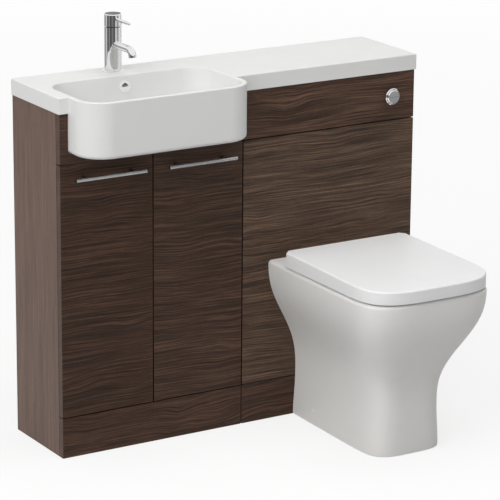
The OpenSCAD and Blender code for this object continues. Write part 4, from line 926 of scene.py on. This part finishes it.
# %% One maker for the white stuffs
def white(name, colour, rough, rough_spread, coat=0.0, coat_rough=0.05, wave=0.0, sag_depth=0.0,
          tone=0.02):
    made, tree, shader = material(name, IOR=1.5, Coat_Weight=coat, Coat_Roughness=coat_rough)
    marks = place(tree, "touched_and_wiped")
    deeper = [max(c - tone, 0) for c in colour[:3]] + [1.0]
    tree.links.new(tint(tree, "MIX", marks.outputs["Smudge"], colour, deeper),
                   shader.inputs["Base Color"])
    tree.links.new(remap(tree, marks.outputs["Smudge"], 0, 1, rough, rough + rough_spread),
                   shader.inputs["Roughness"])
    height = calc(tree, "ADD", calc(tree, "MULTIPLY", marks.outputs["Grain"], wave),
                  calc(tree, "MULTIPLY", marks.outputs["Sag"], sag_depth))
    bump(tree, shader, height, 0.6, 1 * MM)
    return made


resin = white("gel_coated_resin", [0.79, 0.79, 0.78, 1], 0.52, 0.10, coat=0.03, coat_rough=0.40,
              wave=0.01, sag_depth=0.05, tone=0.015)
glaze = white("china_glaze", [0.83, 0.82, 0.80, 1], 0.42, 0.10, coat=0.05, coat_rough=0.3,
              wave=0.01, sag_depth=0.12)
hard_plastic = white("seat_plastic_gloss", [0.88, 0.88, 0.88, 1], 0.44, 0.10,
                     wave=0.015, sag_depth=0.03, tone=0.01)
plain_plastic = white("moulded_plastic", [0.76, 0.76, 0.74, 1], 0.42, 0.12,
                      wave=0.12, sag_depth=0.02)
pale_rubber = white("pale_rubber", [0.55, 0.55, 0.54, 1], 0.7, 0.15, wave=0.3)
print("white finishes:", [made.name for made in (resin, glaze, hard_plastic, plain_plastic)])

# %% Dress the white pieces
finish(resin, "moulded_top")
finish(glaze, "glazed_pan")
finish(hard_plastic, "toilet_seat", "toilet_lid")
slots = {p["node"]: p["material_slot"] for p in frame["record"]["subparts"]}
for name, slot in slots.items():
    if slot == "white_plastic":
        finish(plain_plastic, name)
    if slot == "rubber":
        finish(pale_rubber, name)
finish(hard_plastic, "overflow_ring", "pan_fixings")
print("plain plastic pieces:", sum(slot == "white_plastic" for slot in slots.values()))

# %% [markdown]
# ## Metal
# The tap, the buttons and the waste are chrome plate: almost a mirror, faintly clouded by finger
# marks. The handles, hinges and brackets are satin steel, whose brushing runs one way and spreads
# the reflection, so their noise is stretched along the bar.

# %% Chrome and satin steel
def metal(name, colour, rough, rough_spread, stretch, height):
    made, tree, shader = material(name, Metallic=1.0)
    marks = place(tree, "touched_and_wiped", Size=22.0)
    at = node(tree, "ShaderNodeTexCoord")
    brushed = noise_on(tree, stretched(tree, at.outputs["Object"], stretch), Scale=1.0, Detail=3.0)
    deeper = [c * 0.9 for c in colour[:3]] + [1.0]
    tree.links.new(tint(tree, "MIX", marks.outputs["Smudge"], colour, deeper),
                   shader.inputs["Base Color"])
    mixed = calc(tree, "ADD", calc(tree, "MULTIPLY", marks.outputs["Smudge"], 0.5),
                 calc(tree, "MULTIPLY", brushed, 0.5))
    tree.links.new(remap(tree, mixed, 0.1, 0.9, rough, rough + rough_spread),
                   shader.inputs["Roughness"])
    bump(tree, shader, brushed, height, 0.1 * MM)
    return made


chrome = metal("chrome_plate", [0.86, 0.86, 0.865, 1], 0.03, 0.06, (60, 60, 60), 0.02)
satin = metal("satin_steel", [0.40, 0.40, 0.40, 1], 0.22, 0.14, (30, 1400, 1400), 0.12)
for name, slot in slots.items():
    if slot == "chrome" and name != "overflow_ring":
        finish(chrome, name)
    if slot == "steel":
        finish(satin, name)
print("chrome and steel pieces:", sum(slot in ("chrome", "steel") for slot in slots.values()))

# %% [markdown]
# ## Put the pieces on their bodies
# The new forms take the place of their CAD solids, which are hidden but kept. Each rides on the
# body that carried the solid, so the lid and the seat swing as before.

# %% Ride and replace
for made, cad, body, slot in ((worktop, "basin_worktop", "cabinet", "cast_resin"),
                              (pan, "pan", "cabinet", "vitreous_china"),
                              (seat, "seat", "seat", "seat_plastic"),
                              (lid, "lid", "lid", "seat_plastic")):
    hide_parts(cad)
    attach(made, body)
    print(made.name, "takes the place of", cad, "on the body", body)

# %% [markdown]
# ## Floor, light and camera
# The photograph is lit from the upper left by a large soft source in a white room. Three square
# lamps do that: a key at the left, one above and a weak low one before the fronts. Mirrors don't
# see them, because their edges would draw hard white bars on the chrome. The world fills the
# shadows, more from the left than from the right, and is plain white to the camera and in
# reflections. The floor keeps the soft shadow and glows a little, for the camera and for
# reflections only, so that it runs into the white without a horizon.

# %% World
FILL_AT_LEFT, FILL_AT_RIGHT = 0.58, 0.28


def seen_ray(tree):
    """1 where the camera looks, directly, in a reflection or through something clear."""
    path = node(tree, "ShaderNodeLightPath")
    indirect = calc(tree, "MAXIMUM", path.outputs["Is Glossy Ray"],
                    path.outputs["Is Transmission Ray"])
    return calc(tree, "MAXIMUM", path.outputs["Is Camera Ray"], indirect)


scene = bpy.context.scene
scene.view_settings.view_transform = "Standard"
world = bpy.data.worlds.new("white_room")
scene.world = world
world.use_nodes = True
tree = world.node_tree
tree.nodes.clear()
fill = node(tree, "ShaderNodeBackground", Color=(1, 1, 1, 1))
across_room = node(tree, "ShaderNodeSeparateXYZ")
tree.links.new(node(tree, "ShaderNodeTexCoord").outputs["Generated"], across_room.inputs[0])
tree.links.new(remap(tree, across_room.outputs["X"], -1, 1, FILL_AT_LEFT, FILL_AT_RIGHT),
               fill.inputs["Strength"])
shown = node(tree, "ShaderNodeBackground", Color=(1, 1, 1, 1), Strength=1.0)
choose = node(tree, "ShaderNodeMixShader")
tree.links.new(seen_ray(tree), choose.inputs[0])
tree.links.new(fill.outputs[0], choose.inputs[1])
tree.links.new(shown.outputs[0], choose.inputs[2])
world_out = node(tree, "ShaderNodeOutputWorld")
tree.links.new(choose.outputs[0], world_out.inputs["Surface"])
print("world fill from", FILL_AT_LEFT, "at the left to", FILL_AT_RIGHT)

# %% Floor
FLOOR_Z, FLOOR_HALF = -0.0008, 14
BOUNCE, SHADOWED = 0.45, 0.25
GLOW_FROM, GLOW_TO, GLOW_NEAR, GLOW_FAR = 1.0, 7.0, 0.755, 0.895


def sheet(name, corners):
    bm = bmesh.new()
    bm.faces.new([bm.verts.new(c) for c in corners])
    return piece(name, bm)


def even_grey(value): return (value, value, value, 1)


floor = sheet("floor", [(x * FLOOR_HALF, y * FLOOR_HALF, FLOOR_Z)
                        for x, y in ((-1, -1), (1, -1), (1, 1), (-1, 1))])
paint, tree, shader = material("floor_paint")
tree.nodes.remove(shader)
bounced = node(tree, "ShaderNodeBsdfDiffuse", Color=even_grey(BOUNCE))
shadowed = node(tree, "ShaderNodeBsdfDiffuse", Color=even_grey(SHADOWED))
glow = node(tree, "ShaderNodeEmission", Color=even_grey(1))
away = node(tree, "ShaderNodeVectorMath", operation="LENGTH")
tree.links.new(node(tree, "ShaderNodeTexCoord").outputs["Object"], away.inputs[0])
tree.links.new(remap(tree, away.outputs["Value"], GLOW_FROM, GLOW_TO, GLOW_NEAR, GLOW_FAR),
               glow.inputs["Strength"])
both = node(tree, "ShaderNodeAddShader")
tree.links.new(shadowed.outputs[0], both.inputs[0])
tree.links.new(glow.outputs[0], both.inputs[1])
pick = node(tree, "ShaderNodeMixShader")
tree.links.new(seen_ray(tree), pick.inputs[0])
tree.links.new(bounced.outputs[0], pick.inputs[1])
tree.links.new(both.outputs[0], pick.inputs[2])
tree.links.new(pick.outputs[0], tree.nodes["Material Output"].inputs["Surface"])
finish(paint, "floor")
print("floor at z", FLOOR_Z)

# %% Lamps
LAMPS = (("key_lamp", 3.0, 78.0, (-3.2, -1.1, 3.2), (0, 0, 0.5)),
         ("top_lamp", 3.0, 58.0, (0.5, -0.6, 4.3), (0.2, -0.2, 0.5)),
         ("low_lamp", 2.0, 14.0, (-2.4, -2.6, 0.8), (0.1, -0.2, 0.3)))
for name, size, energy, at, target in LAMPS:
    made = bpy.data.objects.new(name, bpy.data.lights.new(name, "AREA"))
    made.data.shape, made.data.size, made.data.energy = "SQUARE", size, energy
    made.visible_glossy = False
    made.location = at
    made.rotation_euler = (Vector(target) - Vector(at)).to_track_quat("-Z", "Y").to_euler()
    scene.collection.objects.link(made)
    print(name, energy, "W")

# %% [markdown]
# ## Cards for the chrome
# Chrome has no look of its own: it shows the room. A photographer stands grey cards round it, which
# give the tap the upright stripes that make it read as metal. Real cards would depend on the lamps,
# so these glow in one grey each, and only reflections can see them: the stripes are painted
# reflections. Their turns are measured in degrees from the side of the camera, whose angles were
# worked out from the photograph's straight edges.

# %% Glowing paint for one card, for painted reflections
CAMERA_YAW, CAMERA_PITCH, CAMERA_ROLL = 31.5404, 16.2112, 0.4858
TO_CAMERA = -90 - CAMERA_YAW
GLOW_SPREAD = 0.15


def reflection_paint(grey):
    """Paint of one grey that glows by itself, a painted reflection for the chrome, so that its
    place to the lamps is free.
    """
    made, tree, shader = material("cloth_%02d" % round(grey * 100), Base_Color=(0, 0, 0, 1),
                                  Specular_IOR_Level=0.0, Emission_Strength=1.0)
    # the painted reflection's glow varies a little from place to place
    glow_noise = node(tree, "ShaderNodeTexNoise", Scale=40.0)
    shades = [(0.3, even_grey(grey * (1 - GLOW_SPREAD))),
              (0.7, even_grey(grey * (1 + GLOW_SPREAD)))]
    tree.links.new(ramp(tree, glow_noise.outputs["Fac"], shades), shader.inputs["Emission Color"])
    return made


def show_to_gloss(made, grey):
    for ray in ("camera", "diffuse", "shadow", "transmission", "volume_scatter"):
        setattr(made, "visible_" + ray, False)
    finish(reflection_paint(grey), made.name)


print("the camera lies at", TO_CAMERA, "degrees from the tap")

# %% Stand the cards round the tap
CARD_REACH, CARD_LOW, CARD_TOP, CARD_STEPS = 2.6, 0.002, 1.5, 8
CARDS = ((-157, -91, 0.40), (-83, -54, 0.10), (-54, -41, 0.32), (-41, -14, 0.095),
         (-14, 7, 0.19), (7, 35, 0.11), (35, 50, 0.75), (50, 63, 0.52), (63, 82, 0.31),
         (82, 100, 0.70), (122, 153, 0.45))


def card(name, turn_from, turn_to, grey):
    """An upright sheet, curved round the tap from one turn to the other."""
    centre = middle("tap_body")
    foot = arc(centre.x, centre.y, CARD_REACH, TO_CAMERA + turn_from, TO_CAMERA + turn_to,
               CARD_STEPS)
    bm = bmesh.new()
    below, above = [[bm.verts.new((x, y, z)) for x, y in foot] for z in (CARD_LOW, CARD_TOP)]
    for i in range(CARD_STEPS):
        bm.faces.new((below[i], below[i + 1], above[i + 1], above[i]))
    show_to_gloss(piece(name, bm), grey)


for i, (turn_from, turn_to, grey) in enumerate(CARDS):
    card("card_%d" % i, turn_from, turn_to, grey)
# one more glowing card hangs behind the unit, for a painted reflection
behind = sheet("card_behind", [(x, 1.95, z) for x, z in ((0.5, 1.38), (1.0, 1.38),
                                                          (1.0, 1.8), (0.5, 1.8))])
show_to_gloss(behind, 0.2)
print("cards:", len(CARDS) + 1)

# %% [markdown]
# ## The camera
# The camera's place was worked out from the edges of the worktop, fronts and panels, which all are
# straight and level: where their corners lie in the photograph fixes where it stood. It could be
# tracked to a target, but a target gives no roll, so its three axes are written out from yaw, pitch
# and roll.

# %% Camera
CAMERA_AT = (-3.3773, -5.4146, 2.3374)
SENSOR, FOCAL_PX, PICTURE_PX = 36, 2755.2, 500
camera = bpy.data.objects.new("camera", bpy.data.cameras.new("camera"))
scene.collection.objects.link(camera)
yaw, pitch, roll = (math.radians(a) for a in (CAMERA_YAW, CAMERA_PITCH, CAMERA_ROLL))
ahead = Vector((math.sin(yaw) * math.cos(pitch), math.cos(yaw) * math.cos(pitch), -math.sin(pitch)))
side = Vector((math.cos(yaw), -math.sin(yaw), 0))
up = side.cross(ahead)
right = side * math.cos(roll) + up * math.sin(roll)
up = up * math.cos(roll) - side * math.sin(roll)
turned = Matrix((right, up, -ahead)).transposed().to_4x4()
camera.matrix_world = Matrix.Translation(CAMERA_AT) @ turned
camera.data.sensor_width = SENSOR
camera.data.lens = FOCAL_PX * SENSOR / PICTURE_PX
camera.data.clip_end = 50
scene.camera = camera
print("lens", round(camera.data.lens, 1), "mm")
